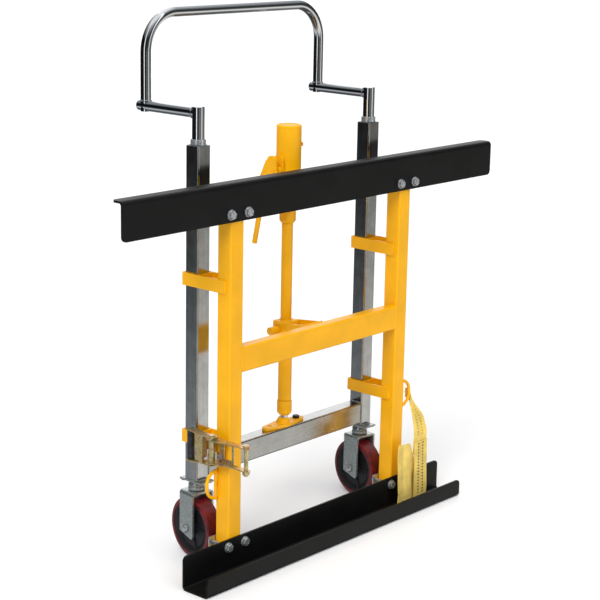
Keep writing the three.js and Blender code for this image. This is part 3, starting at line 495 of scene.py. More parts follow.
def hex_prism(bm, across, origin, axis, height):
    """A hexagon nut or bolt head, its corners turned off to a round chamfer at the far end."""
    side = axis.orthogonal().normalized()
    up = axis.cross(side)
    part = bmesh.new()
    prism(part, hexagon(across), origin, side, up, axis * (height * MM))
    bmesh.ops.recalc_face_normals(part, faces=part.faces)
    rim = [e for e in part.edges if all(abs((v.co - origin).dot(axis) - height * MM) < 1e-6 for v in e.verts)]
    ease(part, 0.07 * across, 3, 20, rim)
    ease(part, 0.35, 2, 20)
    add_mesh(bm, part)


def add_mesh(bm, part):
    """Adds another bmesh to this one and frees it."""
    bmesh.ops.recalc_face_normals(part, faces=part.faces)
    mesh = bpy.data.meshes.new("part")
    part.to_mesh(mesh)
    part.free()
    bm.from_mesh(mesh)
    bpy.data.meshes.remove(mesh)


def bent_tube(radius, start, heading, moves, sides=32):
    """A closed round rod: a straight move is a length in mm, a bend is (centre, axis, degrees, steps)."""
    bm = bmesh.new()
    turn = heading.to_track_quat("Z", "Y").to_matrix().to_4x4()
    bmesh.ops.create_circle(
        bm, cap_ends=True, radius=radius * MM, segments=sides, matrix=Matrix.Translation(start) @ turn
    )
    rim = list(bm.edges)
    heading = heading.copy()
    for move in moves:
        if isinstance(move, (int, float)):
            made = bmesh.ops.extrude_edge_only(bm, edges=rim)["geom"]
            new_verts = [g for g in made if isinstance(g, bmesh.types.BMVert)]
            bmesh.ops.translate(bm, verts=new_verts, vec=heading * (move * MM))
            rim = [g for g in made if isinstance(g, bmesh.types.BMEdge)]
        else:
            centre, axis, degrees, steps = move
            geom = rim + list({v for e in rim for v in e.verts})
            turn = math.radians(degrees)
            made = bmesh.ops.spin(
                bm, geom=geom, cent=centre, axis=axis, angle=turn, steps=steps, use_merge=False
            )["geom_last"]
            rim = [g for g in made if isinstance(g, bmesh.types.BMEdge)]
            heading.rotate(Matrix.Rotation(turn, 3, axis))
    bmesh.ops.edgeloop_fill(bm, edges=rim)
    bmesh.ops.recalc_face_normals(bm, faces=bm.faces)
    return bm


def weld_bead(bm, start, end, radius, step=3.2):
    """A fillet weld's bead between two points: a rod whose radius swells with each ripple."""
    run = end - start
    count = max(4, 2 * round(run.length / (step * MM) / 2))
    part = bmesh.new()
    turn = run.to_track_quat("Z", "Y").to_matrix().to_4x4()
    bmesh.ops.create_circle(
        part, cap_ends=True, radius=radius * MM * 0.55, segments=10, matrix=Matrix.Translation(start) @ turn
    )
    rim = list(part.edges)
    for i in range(1, count + 1):
        made = bmesh.ops.extrude_edge_only(part, edges=rim)["geom"]
        verts = [g for g in made if isinstance(g, bmesh.types.BMVert)]
        rim = [g for g in made if isinstance(g, bmesh.types.BMEdge)]
        bmesh.ops.translate(part, verts=verts, vec=run / count)
        middle = start + run * i / count
        wide = 0.55 if i == count else (1.0 if i % 2 else 0.86)
        was = (verts[0].co - middle).length
        size = radius * MM * wide / was
        bmesh.ops.scale(part, vec=(size, size, size), space=Matrix.Translation(-middle), verts=verts)
    bmesh.ops.edgeloop_fill(part, edges=rim)
    add_mesh(bm, part)


def square_tube(node, along, wall, corner, end_ease=0.5, **options):
    """A hollow square tube with round corners in a CAD node's box."""
    low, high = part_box(node)
    bm = bmesh.new()
    bmesh.ops.create_cube(bm, size=1)
    size = high - low
    middle = (low + high) / 2
    bmesh.ops.transform(bm, matrix=Matrix.Translation(middle) @ Matrix.Diagonal(size.to_4d()), verts=bm.verts)
    long_edges = [e for e in bm.edges if abs((e.verts[1].co - e.verts[0].co).normalized()[along]) > 0.9]
    bmesh.ops.bevel(
        bm, geom=long_edges, offset=corner * MM, segments=6, profile=0.5, affect="EDGES", material=-1
    )
    ends = [f for f in bm.faces if abs(f.normal[along]) > 0.9]
    bmesh.ops.inset_individual(bm, faces=ends, thickness=wall * MM)
    inner = [f for f in ends if f.is_valid]
    loops = list({e for f in inner for e in f.edges})
    bmesh.ops.delete(bm, geom=inner, context="FACES_ONLY")
    bmesh.ops.bridge_loops(bm, edges=loops)
    bmesh.ops.recalc_face_normals(bm, faces=bm.faces)
    ease(bm, end_ease, 4, 60)
    return stand_in_for(bm, node, **options)


def block(bm, low, high, width=1.0, segments=3):
    """A cuboid between two corners in metres, with its edges eased."""
    part = bmesh.new()
    middle, size = (low + high) / 2, high - low
    bmesh.ops.create_cube(part, size=1, matrix=Matrix.Translation(middle) @ Matrix.Diagonal(size.to_4d()))
    ease(part, width, segments)
    add_mesh(bm, part)


def rod(bm, radius, start, end, width=0.5, sides=40, segments=3):
    """A round bar between two points, with eased ends."""
    run = end - start
    part = bmesh.new()
    turn = run.to_track_quat("Z", "Y").to_matrix().to_4x4()
    bmesh.ops.create_cone(
        part,
        cap_ends=True,
        radius1=radius * MM,
        radius2=radius * MM,
        depth=run.length,
        segments=sides,
        matrix=Matrix.Translation((start + end) / 2) @ turn,
    )
    ease(part, width, segments, 60)
    add_mesh(bm, part)


def open_end(bm, centre, outward, radius, wall, depth):
    """Bores out a round bar's end cap, so that it shows the tube that it is."""
    facing = [f for f in bm.faces if f.normal.dot(outward) > 0.99]
    caps = [f for f in facing if (f.calc_center_median() - centre).length < radius * MM / 4]
    bmesh.ops.inset_region(bm, faces=caps, thickness=wall * MM)
    made = bmesh.ops.extrude_face_region(bm, geom=caps)["geom"]
    bmesh.ops.delete(bm, geom=[f for f in caps if f.is_valid], context="FACES_ONLY")
    moved = [g for g in made if isinstance(g, bmesh.types.BMVert)]
    bmesh.ops.translate(bm, verts=moved, vec=outward * (-depth * MM))


def threaded(bm, radius, start, end, pitch=1.75):
    """A bolt's threaded end as a stack of ridges."""
    run = end - start
    axis = run.normalized()
    turns = max(2, int(run.length / (pitch * MM)))
    step = run.length / MM / turns
    profile = [(0, 0), (radius - 0.9, 0)]
    for i in range(turns):
        profile += [(radius, (i + 0.5) * step), (radius - 0.9, (i + 1) * step)]
    profile += [(0, turns * step)]
    part = bmesh.new()
    turned(part, profile, start, axis, 24)
    add_mesh(bm, part)


# ---- Pieces ----


def make_tubes():
    """Square tubes: uprights, crossbar, posts and base bar."""
    wall, corner = 3, 4
    for side, _ in SIDES:
        square_tube(f"upright_{side}", 2, wall, corner)
        square_tube(f"post_{side}", 2, wall, corner, 1.3, finish="zinc_upright")
    square_tube("crossbar", 0, wall, corner)
    square_tube("base_bar", 0, wall, corner, finish="zinc_cross")


def make_plates():
    """The bent beam and toe channel, the guides, the jack's bracket and the clamp plates."""
    edge = settings("edges").plate_edge
    for node in ("top_beam", "toe_channel"):
        refined(node, edge, 3, 40)
    for level in ("upper", "lower"):
        for side, _ in SIDES:
            refined(f"guide_{level}_{side}", edge, 3, 40)
            refined(f"clamp_plate_{level}_{side}", settings("edges").machined_edge, 2, 25)
    refined("jack_bracket", edge, 3, 30)


def make_clamp_bolts():
    """Flange-headed clamp bolts with washers and threaded ends."""
    head_height, washer_height, across, shank = 7, 2, 18, 5
    for level in ("upper", "lower"):
        for side, _ in SIDES:
            for place in ("outer", "inner"):
                node = f"clamp_bolt_{level}_{side}_{place}"
                low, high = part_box(node)
                middle = (low + high) / 2
                front = Vector((middle.x, low.y, middle.z))
                washer_front = front + Y * (head_height * MM)
                seat = washer_front + Y * (washer_height * MM)
                thread_start = Vector((middle.x, high.y - 0.016, middle.z))
                bm = bmesh.new()
                rod(bm, (high.x - low.x) / 2 / MM, washer_front, seat, 0.5, 40)
                flange = [(0, 0), (10.6, 0), (10.6, 0.8), (9.2, 1.9), (0, 1.9)]
                part = bmesh.new()
                turned(part, flange, washer_front, -Y, 40)
                bmesh.ops.recalc_face_normals(part, faces=part.faces)
                ease(part, 0.35, 2, 20)
                add_mesh(bm, part)
                hex_prism(bm, across, washer_front - Y * (1.5 * MM), -Y, head_height - 1.5)
                rod(bm, shank, seat, thread_start, 0.3, 28)
                threaded(bm, shank, thread_start, Vector((middle.x, high.y, middle.z)))
                stand_in_for(bm, node)


def make_handle():
    """The push handle: a bent bow on two arms, and the stubs that drop into the posts."""
    low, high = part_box("push_handle")
    tube, stub, bend, arm_drop = 12.5, 14.5, 88, 222.5
    x = high.x - stub * MM
    arm_z = high.z - arm_drop * MM
    bow_y = high.y - 20 * MM
    bow_z = high.z - tube * MM
    post_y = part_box("collar_left")[0].lerp(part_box("collar_left")[1], 0.5).y
    leg_foot = arm_z - tube * MM
    rise = (bow_z - bend * MM - leg_foot) / MM
    span = 2 * (x / MM - bend)
    corner_z = bow_z - bend * MM
    left_centre = Vector((-x + bend * MM, bow_y, corner_z))
    right_centre = Vector((x - bend * MM, bow_y, corner_z))
    moves = [rise, (left_centre, Y, 90, 20), span, (right_centre, Y, 90, 20), rise]
    bow = bent_tube(tube, Vector((-x, bow_y, leg_foot)), Z, moves, 40)
    for sign in (-1, 1):
        foot = Vector((sign * x, bow_y, leg_foot))
        open_end(bow, foot, -Z, tube, 2, 14)
    for sign in (-1, 1):
        arm = bmesh.new()
        start, end = Vector((sign * x, post_y, arm_z)), Vector((sign * x, high.y, arm_z))
        rod(arm, tube, start, end, 0.6, 40)
        open_end(arm, end, Y, tube, 2, 14)
        add_mesh(bow, arm)
        stub_top = Vector((sign * x, post_y, arm_z + 15 * MM))
        rod(bow, stub, Vector((sign * x, post_y, low.z)), stub_top, 3, 48, 5)
        weld_ring(bow, Vector((sign * x, post_y + stub * MM, arm_z)), Y, tube + 0.6, 1.8)
        weld_ring(bow, Vector((sign * x, bow_y, arm_z + tube * MM)), Z, tube + 0.6, 1.8)
    stand_in_for(bow, "push_handle", smooth=40)
    for side, _ in SIDES:
        low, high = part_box(f"collar_{side}")
        middle = (low + high) / 2
        outer = (high.x - low.x) / 2 / MM
        inner = outer - 2.9
        height = (high.z - low.z) / MM
        ring = [(inner, 0), (outer, 0), (outer, height), (inner, height), (inner, 0)]
        base = Vector((middle.x, middle.y, low.z))
        stand_in_for(closed_turning(ring, base, Z, 56, 1.1, 4), f"collar_{side}", finish="bolt_steel")


def weld_ring(bm, centre, axis, radius, bead):
    """A rippled weld bead all the way round a tube."""
    part = bmesh.new()
    ripples = max(18, round(math.tau * radius / 1.6))
    out = axis.orthogonal().normalized()
    side = axis.cross(out)
    place = Matrix.Translation(centre + out * (radius * MM))
    turn = side.to_track_quat("Z", "Y").to_matrix().to_4x4()
    bmesh.ops.create_circle(part, cap_ends=False, radius=bead * MM, segments=8, matrix=place @ turn)
    geom = list(part.verts) + list(part.edges)
    bmesh.ops.spin(part, geom=geom, cent=centre, axis=axis, angle=math.tau, steps=ripples, use_merge=True)
    bmesh.ops.remove_doubles(part, verts=part.verts, dist=1e-6)
    for vert in part.verts:
        spoke = vert.co - centre
        turn = math.atan2(spoke.dot(side), spoke.dot(out))
        core = centre + (out * math.cos(turn) + side * math.sin(turn)) * (radius * MM)
        swell = 1 if round(turn / math.tau * ripples) % 2 else 0.84
        vert.co = core + (vert.co - core) * swell
    add_mesh(bm, part)


def make_casters():
    """Casters: mounting plate and ball race, fork, axle, iron core and polyurethane tread."""
    for side, _ in SIDES:
        make_caster_mount(side)
        make_fork(side)
        make_axle(side)
        make_wheel(side)


def make_caster_mount(side):
    """The mounting plate with its four rivets, the ball race and the king pin under it."""
    node = f"caster_mount_{side}"
    low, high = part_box(node)
    middle = (low + high) / 2
    plate = 5
    bm = bmesh.new()
    plate_low = Vector((low.x, low.y, high.z - plate * MM))
    block(bm, plate_low, high, 1.2, 3)
    under = (plate_low.z - low.z) / MM
    race_height, crown, gap = 22, 5, 0.3
    race = under - race_height
    pin_head = race - gap - crown - gap
    profile = [
        (0, 0), (8.5, 0), (10, 1.5), (10, pin_head), (6, pin_head), (6, race), (17.4, race),
        (19.4, race + 1.2), (20, race + 3), (20, race + 8.2), (19, race + 9.2), (17.6, race + 9.4),
        (17.6, race + 10.8), (19, race + 11), (19.4, race + 12), (19.2, race + 16), (17.5, race + 18.5),
        (17.5, under), (0, under),
    ]
    part = closed_turning(profile, Vector((middle.x, middle.y, low.z)), Z, 56, 0.5, 2, 40)
    add_mesh(bm, part)
    for i in (-1, 1):
        for j in (-1, 1):
            at = Vector((middle.x + i * 15 * MM, middle.y + j * 29 * MM, plate_low.z))
            part = bmesh.new()
            turned(part, [(0, 0), (5, 0), (4.4, -2), (2.4, -3.1), (0, -3.3)], at, Z, 24)
            add_mesh(bm, part)
    stand_in_for(bm, node)


def make_fork(side):
    """The caster's fork, its crown bent down into the legs with a soft corner."""
    node = f"fork_{side}"
    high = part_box(node)[1]
    bm = copy_of(node)
    crown = []
    for edge in bm.edges:
        ends = [v.co for v in edge.verts]
        on_top = all(abs(c.z - high.z) < 1e-5 for c in ends)
        if on_top and edge.calc_length() > 0.045 and abs(ends[0].y - ends[1].y) > 0.04:
            crown.append(edge)
    bmesh.ops.bevel(
        bm,
        geom=crown,
        offset=8 * MM,
        segments=6,
        profile=0.5,
        affect="EDGES",
        material=-1,
        clamp_overlap=True,
    )
    ease(bm, 1, 3, 30)
    stand_in_for(bm, node)


WHEEL_RADIUS = 74
CASTER_TURN = math.radians(-8)


def axle_line(side):
    """The axle's middle, a wheel's radius above the floor, and its direction: both casters stand turned."""
    low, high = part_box(f"fork_{side}")
    middle = (low + high) / 2
    return Vector((middle.x, middle.y, WHEEL_RADIUS * MM)), Matrix.Rotation(CASTER_TURN, 3, Z) @ X


def make_axle(side):
    """The axle bolt with its domed head, washer and nut."""
    centre, along = axle_line(side)
    seat = 31.3
    bm = bmesh.new()
    rod(bm, 6, centre - along * (seat * MM), centre + along * (seat * MM), 0.3, 32)
    head = [(0, 0), (9.6, 0), (9.8, 1.2), (9.2, 4.4), (6.6, 6.2), (0, 6.8)]
    part = bmesh.new()
    turned(part, head, centre - along * (seat * MM), -along, 40)
    bmesh.ops.recalc_face_normals(part, faces=part.faces)
    ease(part, 0.6, 3, 25)
    add_mesh(bm, part)
    rod(bm, 11, centre + along * (seat * MM), centre + along * ((seat + 1.6) * MM), 0.4, 40)
    hex_prism(bm, 17, centre + along * ((seat + 1.6) * MM), along, 6.2)
    threaded(bm, 5.8, centre + along * (seat * MM), centre + along * ((seat + 9) * MM))
    stand_in_for(bm, f"axle_{side}")


def make_wheel(side):
    """The spoked iron core and its polyurethane tread."""
    centre, along = axle_line(side)
    half, radius, rim, hub = 20, WHEEL_RADIUS, 62.7, 15
    profile = [(6.3, -half - 4), (hub - 3, -half - 4), (hub, -half - 2), (hub + 1.5, 4 - half)]
    profile += [(hub + 6, 7 - half), (rim - 14, 6.5 - half), (rim - 9, 4 - half), (rim - 6, 1.4 - half)]
    profile += [(rim, 1 - half)]
    profile += [(r, -h) for r, h in reversed(profile)] + [profile[0]]
    core = closed_turning(profile, centre, along, 64, 0.9, 3, 22)
    for i in range(5):
        spoke = Matrix.Rotation(math.tau * i / 5 + 0.3, 4, along)
        up = spoke @ Z
        across = along.cross(up)
        for face in (-1, 1):
            rib = bmesh.new()
            outline = [(-2.6, hub - 2), (2.6, hub - 2), (2.6, rim - 8), (-2.6, rim - 8)]
            start = centre + along * (face * (half - 9) * MM)
            prism(rib, outline, start, across, up, along * (face * 5.4 * MM))
            bmesh.ops.recalc_face_normals(rib, faces=rib.faces)
            ease(rib, 1.6, 3, 30)
            add_mesh(core, rib)
    stand_in_for(core, f"wheel_core_{side}")
    corner = 5
    tread = [(rim + 0.3, -half), (radius - corner, -half)]
    for i in range(1, 9):
        a = math.pi / 2 * i / 8
        tread.append((radius - corner + corner * math.sin(a), corner - half - corner * math.cos(a)))
    tread.append((radius, -1))
    tread.append((radius - 0.5, -0.4))
    tread += [(r, -h) for r, h in reversed(tread)] + [tread[0]]
    band = bmesh.new()
    turned(band, tread, centre, along, 96)
    stand_in_for(band, f"tread_{side}", smooth=50)


def make_jack():
    """The jack: foot and bolt, ram, gland nut, and the cylinder with its trunnion block and riser."""
    refined("jack_foot", 1.4, 4, 25)
    low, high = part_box("foot_bolt")
    middle = (low + high) / 2
    head = 5.7
    seat = Vector((middle.x, middle.y, high.z - head * MM))
    bolt = bmesh.new()
    rod(bolt, 5, Vector((middle.x, middle.y, low.z)), seat - Z * (0.8 * MM), 0.3, 24)
    rod(bolt, 8.6, seat - Z * MM, seat, 0.3)
    hex_prism(bolt, 14.6, seat, Z, head)
    stand_in_for(bolt, "foot_bolt")
    low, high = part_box("jack_ram")
    middle = (low + high) / 2
    bm = bmesh.new()
    rod(bm, (high.x - low.x) / 2 / MM, Vector((0, middle.y, low.z)), Vector((0, middle.y, high.z)), 1, 56)
    stand_in_for(bm, "jack_ram")
    axis_y = middle.y

    low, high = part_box("gland_nut")
    inner, outer, height = 9.8, (high.x - low.x) / 2 / MM, (high.z - low.z) / MM
    profile = [(inner, 0), (outer - 6, 0), (outer - 4.6, 1), (outer - 3.6, 3.4), (outer - 1.4, 5), (outer, 8)]
    for groove in (14, 19, 24):
        profile += [(outer, groove), (outer - 0.9, groove + 0.7), (outer, groove + 1.4)]
    profile += [(outer, height - 2), (outer - 1.2, height), (inner, height), (inner, 0)]
    gland = closed_turning(profile, Vector((0, axis_y, low.z)), Z, 72, 0.4, 2, 25)
    stand_in_for(gland, "gland_nut")

    low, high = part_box("jack_cylinder")
    block_half = Vector((25 * MM, 22 * MM, 19.5 * MM))
    centre = Vector((0, axis_y, 505 * MM))
    bore = 11.5
    bm = bmesh.new()
    barrel = (centre.z - block_half.z - low.z) / MM + 1
    tube = [(bore, 0), (15.6, 0), (16.7, 1.2), (16.7, barrel), (bore, barrel), (bore, 0)]
    add_mesh(bm, closed_turning(tube, Vector((0, axis_y, low.z)), Z, 72, 0.4, 2, 25))
    riser_low = centre.z + block_half.z
    riser = (high.z - riser_low) / MM
    tube = [(bore, 0), (13.6, 0), (13.6, riser - 1), (12.8, riser), (bore, riser), (bore, 0)]
    add_mesh(bm, closed_turning(tube, Vector((0, axis_y, riser_low)), Z, 72, 0.4, 2, 25))
    block(bm, centre - block_half, centre + block_half, 4.5, 5)
    rod(bm, 10, Vector((low.x, axis_y, centre.z)), Vector((high.x, axis_y, centre.z)), 1.2, 48, 4)
    weld_ring(bm, Vector((0, axis_y, riser_low)), Z, 14.6, 2.2)
    weld_ring(bm, Vector((0, axis_y, centre.z - block_half.z)), Z, 17.4, 2.2)
    stand_in_for(bm, "jack_cylinder")


def make_pump():
    """The valve block, reservoir, filler plug, pump lever, plunger and release knob."""
    edge = settings("edges").machined_edge
    refined("valve_block", 1.3, 4, 25)
    low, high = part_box("oil_reservoir")
    middle = (low + high) / 2
    outer, height = (high.x - low.x) / 2 / MM, (high.z - low.z) / MM
    inner = outer - 3
    profile = [(inner, 0), (outer - 0.8, 0), (outer, 0.9), (outer, 5), (outer - 0.8, 5.6), (outer - 0.8, 6.6)]
    profile += [(outer, 7.2), (outer, height - 9), (outer - 0.7, height - 8.3), (outer - 0.7, height - 7.5)]
    profile += [(outer, height - 6.8), (outer, height - 3), (outer - 0.8, height - 1), (outer - 2.6, height)]
    profile += [(outer - 5, height - 0.2), (outer - 6, height - 1.4), (outer - 8, height - 1.8)]
    profile += [(0, height - 1.8), (0, height - 5), (inner, height - 5), (inner, 0)]
    tank = closed_turning(profile, Vector((middle.x, middle.y, low.z)), Z, 96, 0.35, 2, 22)
    stand_in_for(tank, "oil_reservoir")
    refined("filler_plug", edge, 2)
    refined("pump_lever", 0.9, 3, 30)
    low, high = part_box("pump_plunger")
    middle = (low + high) / 2
    bm = bmesh.new()
    rod(bm, 6, Vector((middle.x, middle.y, low.z)), Vector((middle.x, middle.y, high.z)), 0.8, 40)
    stand_in_for(bm, "pump_plunger")
    low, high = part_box("release_knob")
    axis_z = high.z - 11 * MM
    centre = Vector((low.x, (low.y + high.y) / 2, axis_z))
    bm = bmesh.new()
    rod(bm, 5, centre, centre + X * (9 * MM), 0.5, 32)
    knob = bmesh.new()
    outline = []
    for i in range(96):
        a = math.tau * i / 96
        r = 10.6 + 0.5 * math.cos(12 * a)
        outline.append((r * math.cos(a), r * math.sin(a)))
    prism(knob, outline, centre + X * (8.5 * MM), Y, Z, X * (11.3 * MM))
    bmesh.ops.recalc_face_normals(knob, faces=knob.faces)
    rims = [e for e in knob.edges if abs(e.verts[0].co.x - e.verts[1].co.x) < 1e-6]
    ease(knob, 1.6, 4, 40, rims)
    add_mesh(bm, knob)
    tip = centre - Z * (11 * MM)
    rod(bm, 3.9, tip + X * (8.5 * MM), tip + X * (19.8 * MM), 1, 28)
    stand_in_for(bm, "release_knob", smooth=50)


def make_loops():
    """D-shaped rod loops welded to the uprights."""
    rod_radius = 4
    for side, sign in SIDES:
        node = f"loop_{side}"
        low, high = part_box(node)
        y = (low.y + high.y) / 2
        middle = (low.z + high.z) / 2
        half = (high.z - low.z) / 2 / MM - rod_radius
        near, far = (low.x, high.x) if sign > 0 else (high.x, low.x)
        near += sign * rod_radius * MM
        far -= sign * rod_radius * MM
        bend = abs(far - near) / MM
        low_centre = Vector((near, y, middle - (half - bend) * MM))
        high_centre = Vector((near, y, middle + (half - bend) * MM))
        start = Vector((near, y, middle - half * MM))
        turn = -Y * sign
        straight = 2 * (half - bend)
        moves = [(low_centre, turn, 90, 16), straight, (high_centre, turn, 90, 16)]
        bm = bent_tube(rod_radius, start, X * sign, moves, 20)
        top = Vector((near, y, middle + half * MM))
        reach = Z * (rod_radius * MM)
        rod(bm, rod_radius, start - reach, top + reach, 1.6, 24)
        for height in (-half * 0.55, half * 0.55):
            at = Vector((near - sign * 3.2 * MM, y, middle + height * MM))
            weld_bead(bm, at - Z * 0.011 - Y * 0.003, at + Z * 0.011 - Y * 0.003, 2)
            weld_bead(bm, at - Z * 0.011 + Y * 0.003, at + Z * 0.011 + Y * 0.003, 2)
        stand_in_for(bm, node, smooth=40)


def make_ratchet():
    """The ratchet buckle: frame, end bar, mandrel, handle, grip, pawl and the bolt that holds it."""
    edge = settings("edges").machined_edge
    for node in ("ratchet_frame", "ratchet_handle", "ratchet_pawl", "ratchet_mandrel", "ratchet_end_bar"):
        refined(node, edge * 0.8, 2, 28)
    refined("ratchet_mount_bolt", edge, 2, 28)
    low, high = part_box("ratchet_grip")
    middle = (low + high) / 2
    outer, length = (high.x - low.x) / 2 / MM, (high.z - low.z) / MM
    profile = [(4.3, 0), (outer - 1.2, 0), (outer, 1.4)]
    rings = 15
    pitch = (length - 8) / rings
    for i in range(rings):
        z = 4 + i * pitch
        profile += [(outer, z), (outer - 0.9, z + 0.4 * pitch), (outer, z + 0.8 * pitch)]
    profile += [(outer, length - 1.4), (outer - 1.2, length), (4.3, length), (4.3, 0)]
    base = Vector((middle.x, middle.y, low.z))
    stand_in_for(closed_turning(profile, base, Z, 48, 0.3, 2, 20), "ratchet_grip")


# The strap's way, as pairs of edge points in millimetres: each pair is one width of the webbing.
EYE_WAY = [
    ((350, 57, 276), (349, 57, 300)),
    ((358, 54.5, 270), (358.5, 54.5, 298)),
    ((360, 49, 262), (360.5, 50, 290)),
    ((355.5, 43.5, 250), (365, 45, 270)),
    ((354, 37, 236), (373, 39, 253)),
    ((353.5, 32, 219), (388, 28.5, 228)),
    ((352, 27, 200), (396, 24.5, 202)),
    ((350, 23.5, 182), (400, 22.5, 184)),
    ((345, 21, 165), (396, 20, 167)),
    ((342, 19, 148), (391.5, 18, 150)),
    ((340, 18, 130), (389.5, 17, 130)),
]
STOWED_WAY = [
    ((344.5, 15.5, 161), (394, 14.5, 164)),
    ((341.5, 14.5, 148), (391, 13.5, 150)),
    ((340, 13, 110), (389.5, 11.5, 112)),
    ((340, 11.5, 60), (389, 9.5, 61)),
    ((339.5, 10.5, 22), (388.5, 8.5, 22)),
    ((339, 10.8, 11), (388, 8.8, 11)),
    ((338, 13, 7.2), (387, 12, 7.2)),
    ((336, 16.5, 10.5), (385, 15.5, 10.5)),
    ((327, 19, 40), (376, 19.5, 43)),
    ((309, 19, 88), (357, 20, 94)),
    ((292, 17, 134), (339, 18.5, 134)),
    ((279, 13.5, 163), (325, 15, 160)),
    ((271, 9.5, 174), (316, 10, 168)),
    ((265.5, 6.8, 167), (311, 6.4, 161)),
    ((263, 5.8, 144), (311, 5.4, 140)),
    ((265, 6.2, 100), (314.5, 5.6, 102)),
    ((270, 7.4, 55), (319.5, 6.4, 56)),
    ((274.5, 8, 20), (324, 7, 20)),
    ((276, 9.2, 10.5), (325.5, 8.4, 10.5)),
    ((277, 11.6, 7.4), (326.5, 11.2, 7.4)),
    ((278, 14, 11), (327.5, 13.4, 11)),
    ((280, 14.6, 36), (329.5, 14, 36)),
]


def spline(points, t):
    """A Catmull-Rom curve through points, for t from 0 to 1."""
    last = len(points) - 1
    place = min(max(t, 0), 1) * last
    i = min(int(place), last - 1)
    f = place - i
    p0, p1, p2, p3 = (points[min(max(i + k, 0), last)] for k in (-1, 0, 1, 2))
    square = 2 * p0 - 5 * p1 + 4 * p2 - p3
    cube = 3 * p1 - p0 - 3 * p2 + p3
    return 0.5 * (2 * p1 + (p2 - p0) * f + square * f * f + cube * f**3)


def strap_surface(way):
    """A function from (across, along), each 0 to 1, to a point, and the strap's length in millimetres."""
    left = [Vector(a) for a, _ in way]
    right = [Vector(b) for _, b in way]
    fine = 400
    middles = [(spline(left, i / fine) + spline(right, i / fine)) / 2 for i in range(fine + 1)]
    gone = [0.0]
    for a, b in zip(middles, middles[1:]):
        gone.append(gone[-1] + (b - a).length)
    length = gone[-1]

    def at(across, along):
        want = along * length
        i = max(0, min(fine - 1, next((k for k in range(fine) if gone[k + 1] >= want), fine - 1)))
        step = gone[i + 1] - gone[i]
        t = (i + (want - gone[i]) / step) / fine
        a, b = spline(left, t), spline(right, t)
        return (a + (b - a) * across) * MM

    return at, length


def make_webbing(name, node, way, shape):
    """One run of webbing, laid along its way; shape(across, along) is how far it is set back, in mm."""
    at, length = strap_surface(way)
    thickness = settings("strap").thickness
    width = settings("strap").width
    columns, rows = 20, round(length / 2.5)
    bm = bmesh.new()
    uv = bm.loops.layers.uv.new("UVMap")
    bmesh.ops.create_grid(bm, x_segments=columns, y_segments=rows, size=0.5)
    spots = {v: (v.co.x + 0.5, v.co.y + 0.5) for v in bm.verts}
    for face in bm.faces:
        for loop in face.loops:
            across, along = spots[loop.vert]
            loop[uv].uv = (across * width, along * length)
    for vert, (across, along) in spots.items():
        vert.co = at(across, along)
    bm.normal_update()
    moves = {v: v.normal * ((shape(*spots[v]) - thickness / 2) * MM) for v in bm.verts}
    for vert, move in moves.items():
        vert.co += move
    bmesh.ops.solidify(bm, geom=list(bm.faces), thickness=-thickness * MM)
    piece = stand_in_for(bm, node, smooth=60, even=False)
    piece.name = name
    return at, length


def eye_shape(across, along):
    """Gathered into pleats at the loop, and nearly flat where it meets the strand."""
    gathered = max(0.0, 1 - along / 0.55)
    return 1.1 * gathered * math.sin(math.tau * 2.2 * across) + 0.5 * math.sin(math.pi * across)


def stowed_shape(across, along):
    """A soft crown, a slow wave, and a channel pressed into the fold on the left."""
    crown = -0.5 * math.sin(math.pi * across)
    wave = 0.35 * math.sin(math.tau * (6.2 * along + 0.35 * across))
    fold = max(0.0, 1 - abs(along - 0.74) / 0.17)
    channel = 5 * fold * math.exp(-(((across - 0.45) / 0.16) ** 2))
    return crown + wave + channel


STITCH_LIFT = 1.8  # millimetres from the webbing's middle to its thread, on a crowned face
STITCH_PITCH = 8.2


def stitch_rows(name, at, length, start, end, size, finish):
    """Two rows of stitches along the webbing's front, each of a half width, half length and half height.
    Real ones are about 4 mm apart, and are drawn larger and twice as far apart so that they show."""
    bm = bmesh.new()
    for row in (0.3, 0.64):
        for i in range(int((end - start) / STITCH_PITCH)):
            along = (start + i * STITCH_PITCH) / length
            here = at(row, along)
            side = at(row + 0.01, along) - here
            down = at(row, along + 1 / length) - here
            out = side.cross(down).normalized()
            out = -out if out.y > 0 else out
            turn = Matrix((side.normalized(), down.normalized(), out)).transposed().to_4x4()
            shape = Matrix.Diagonal([part * MM for part in size] + [1])
            spot = Matrix.Translation(here + out * (STITCH_LIFT * MM))
            bmesh.ops.create_uvsphere(bm, u_segments=10, v_segments=6, radius=1, matrix=spot @ turn @ shape)
    emit(bm, name, "strap_bundle", finish=finish, even=False)


def make_strap():
    """The stowed webbing strap and its stitching."""
    at, length = make_webbing("strap_eye", "strap_hang", EYE_WAY, eye_shape)
    stitch_rows("strap_eye_stitches", at, length, 50, length - 36, (2.6, 1.4, 1), "pale_thread")
    at, length = make_webbing("strap_stowed", "strap_bundle", STOWED_WAY, stowed_shape)
    stitch_rows("strap_stitches", at, length, 5, 150, (3, 1.7, 1.2), "stitch_thread")


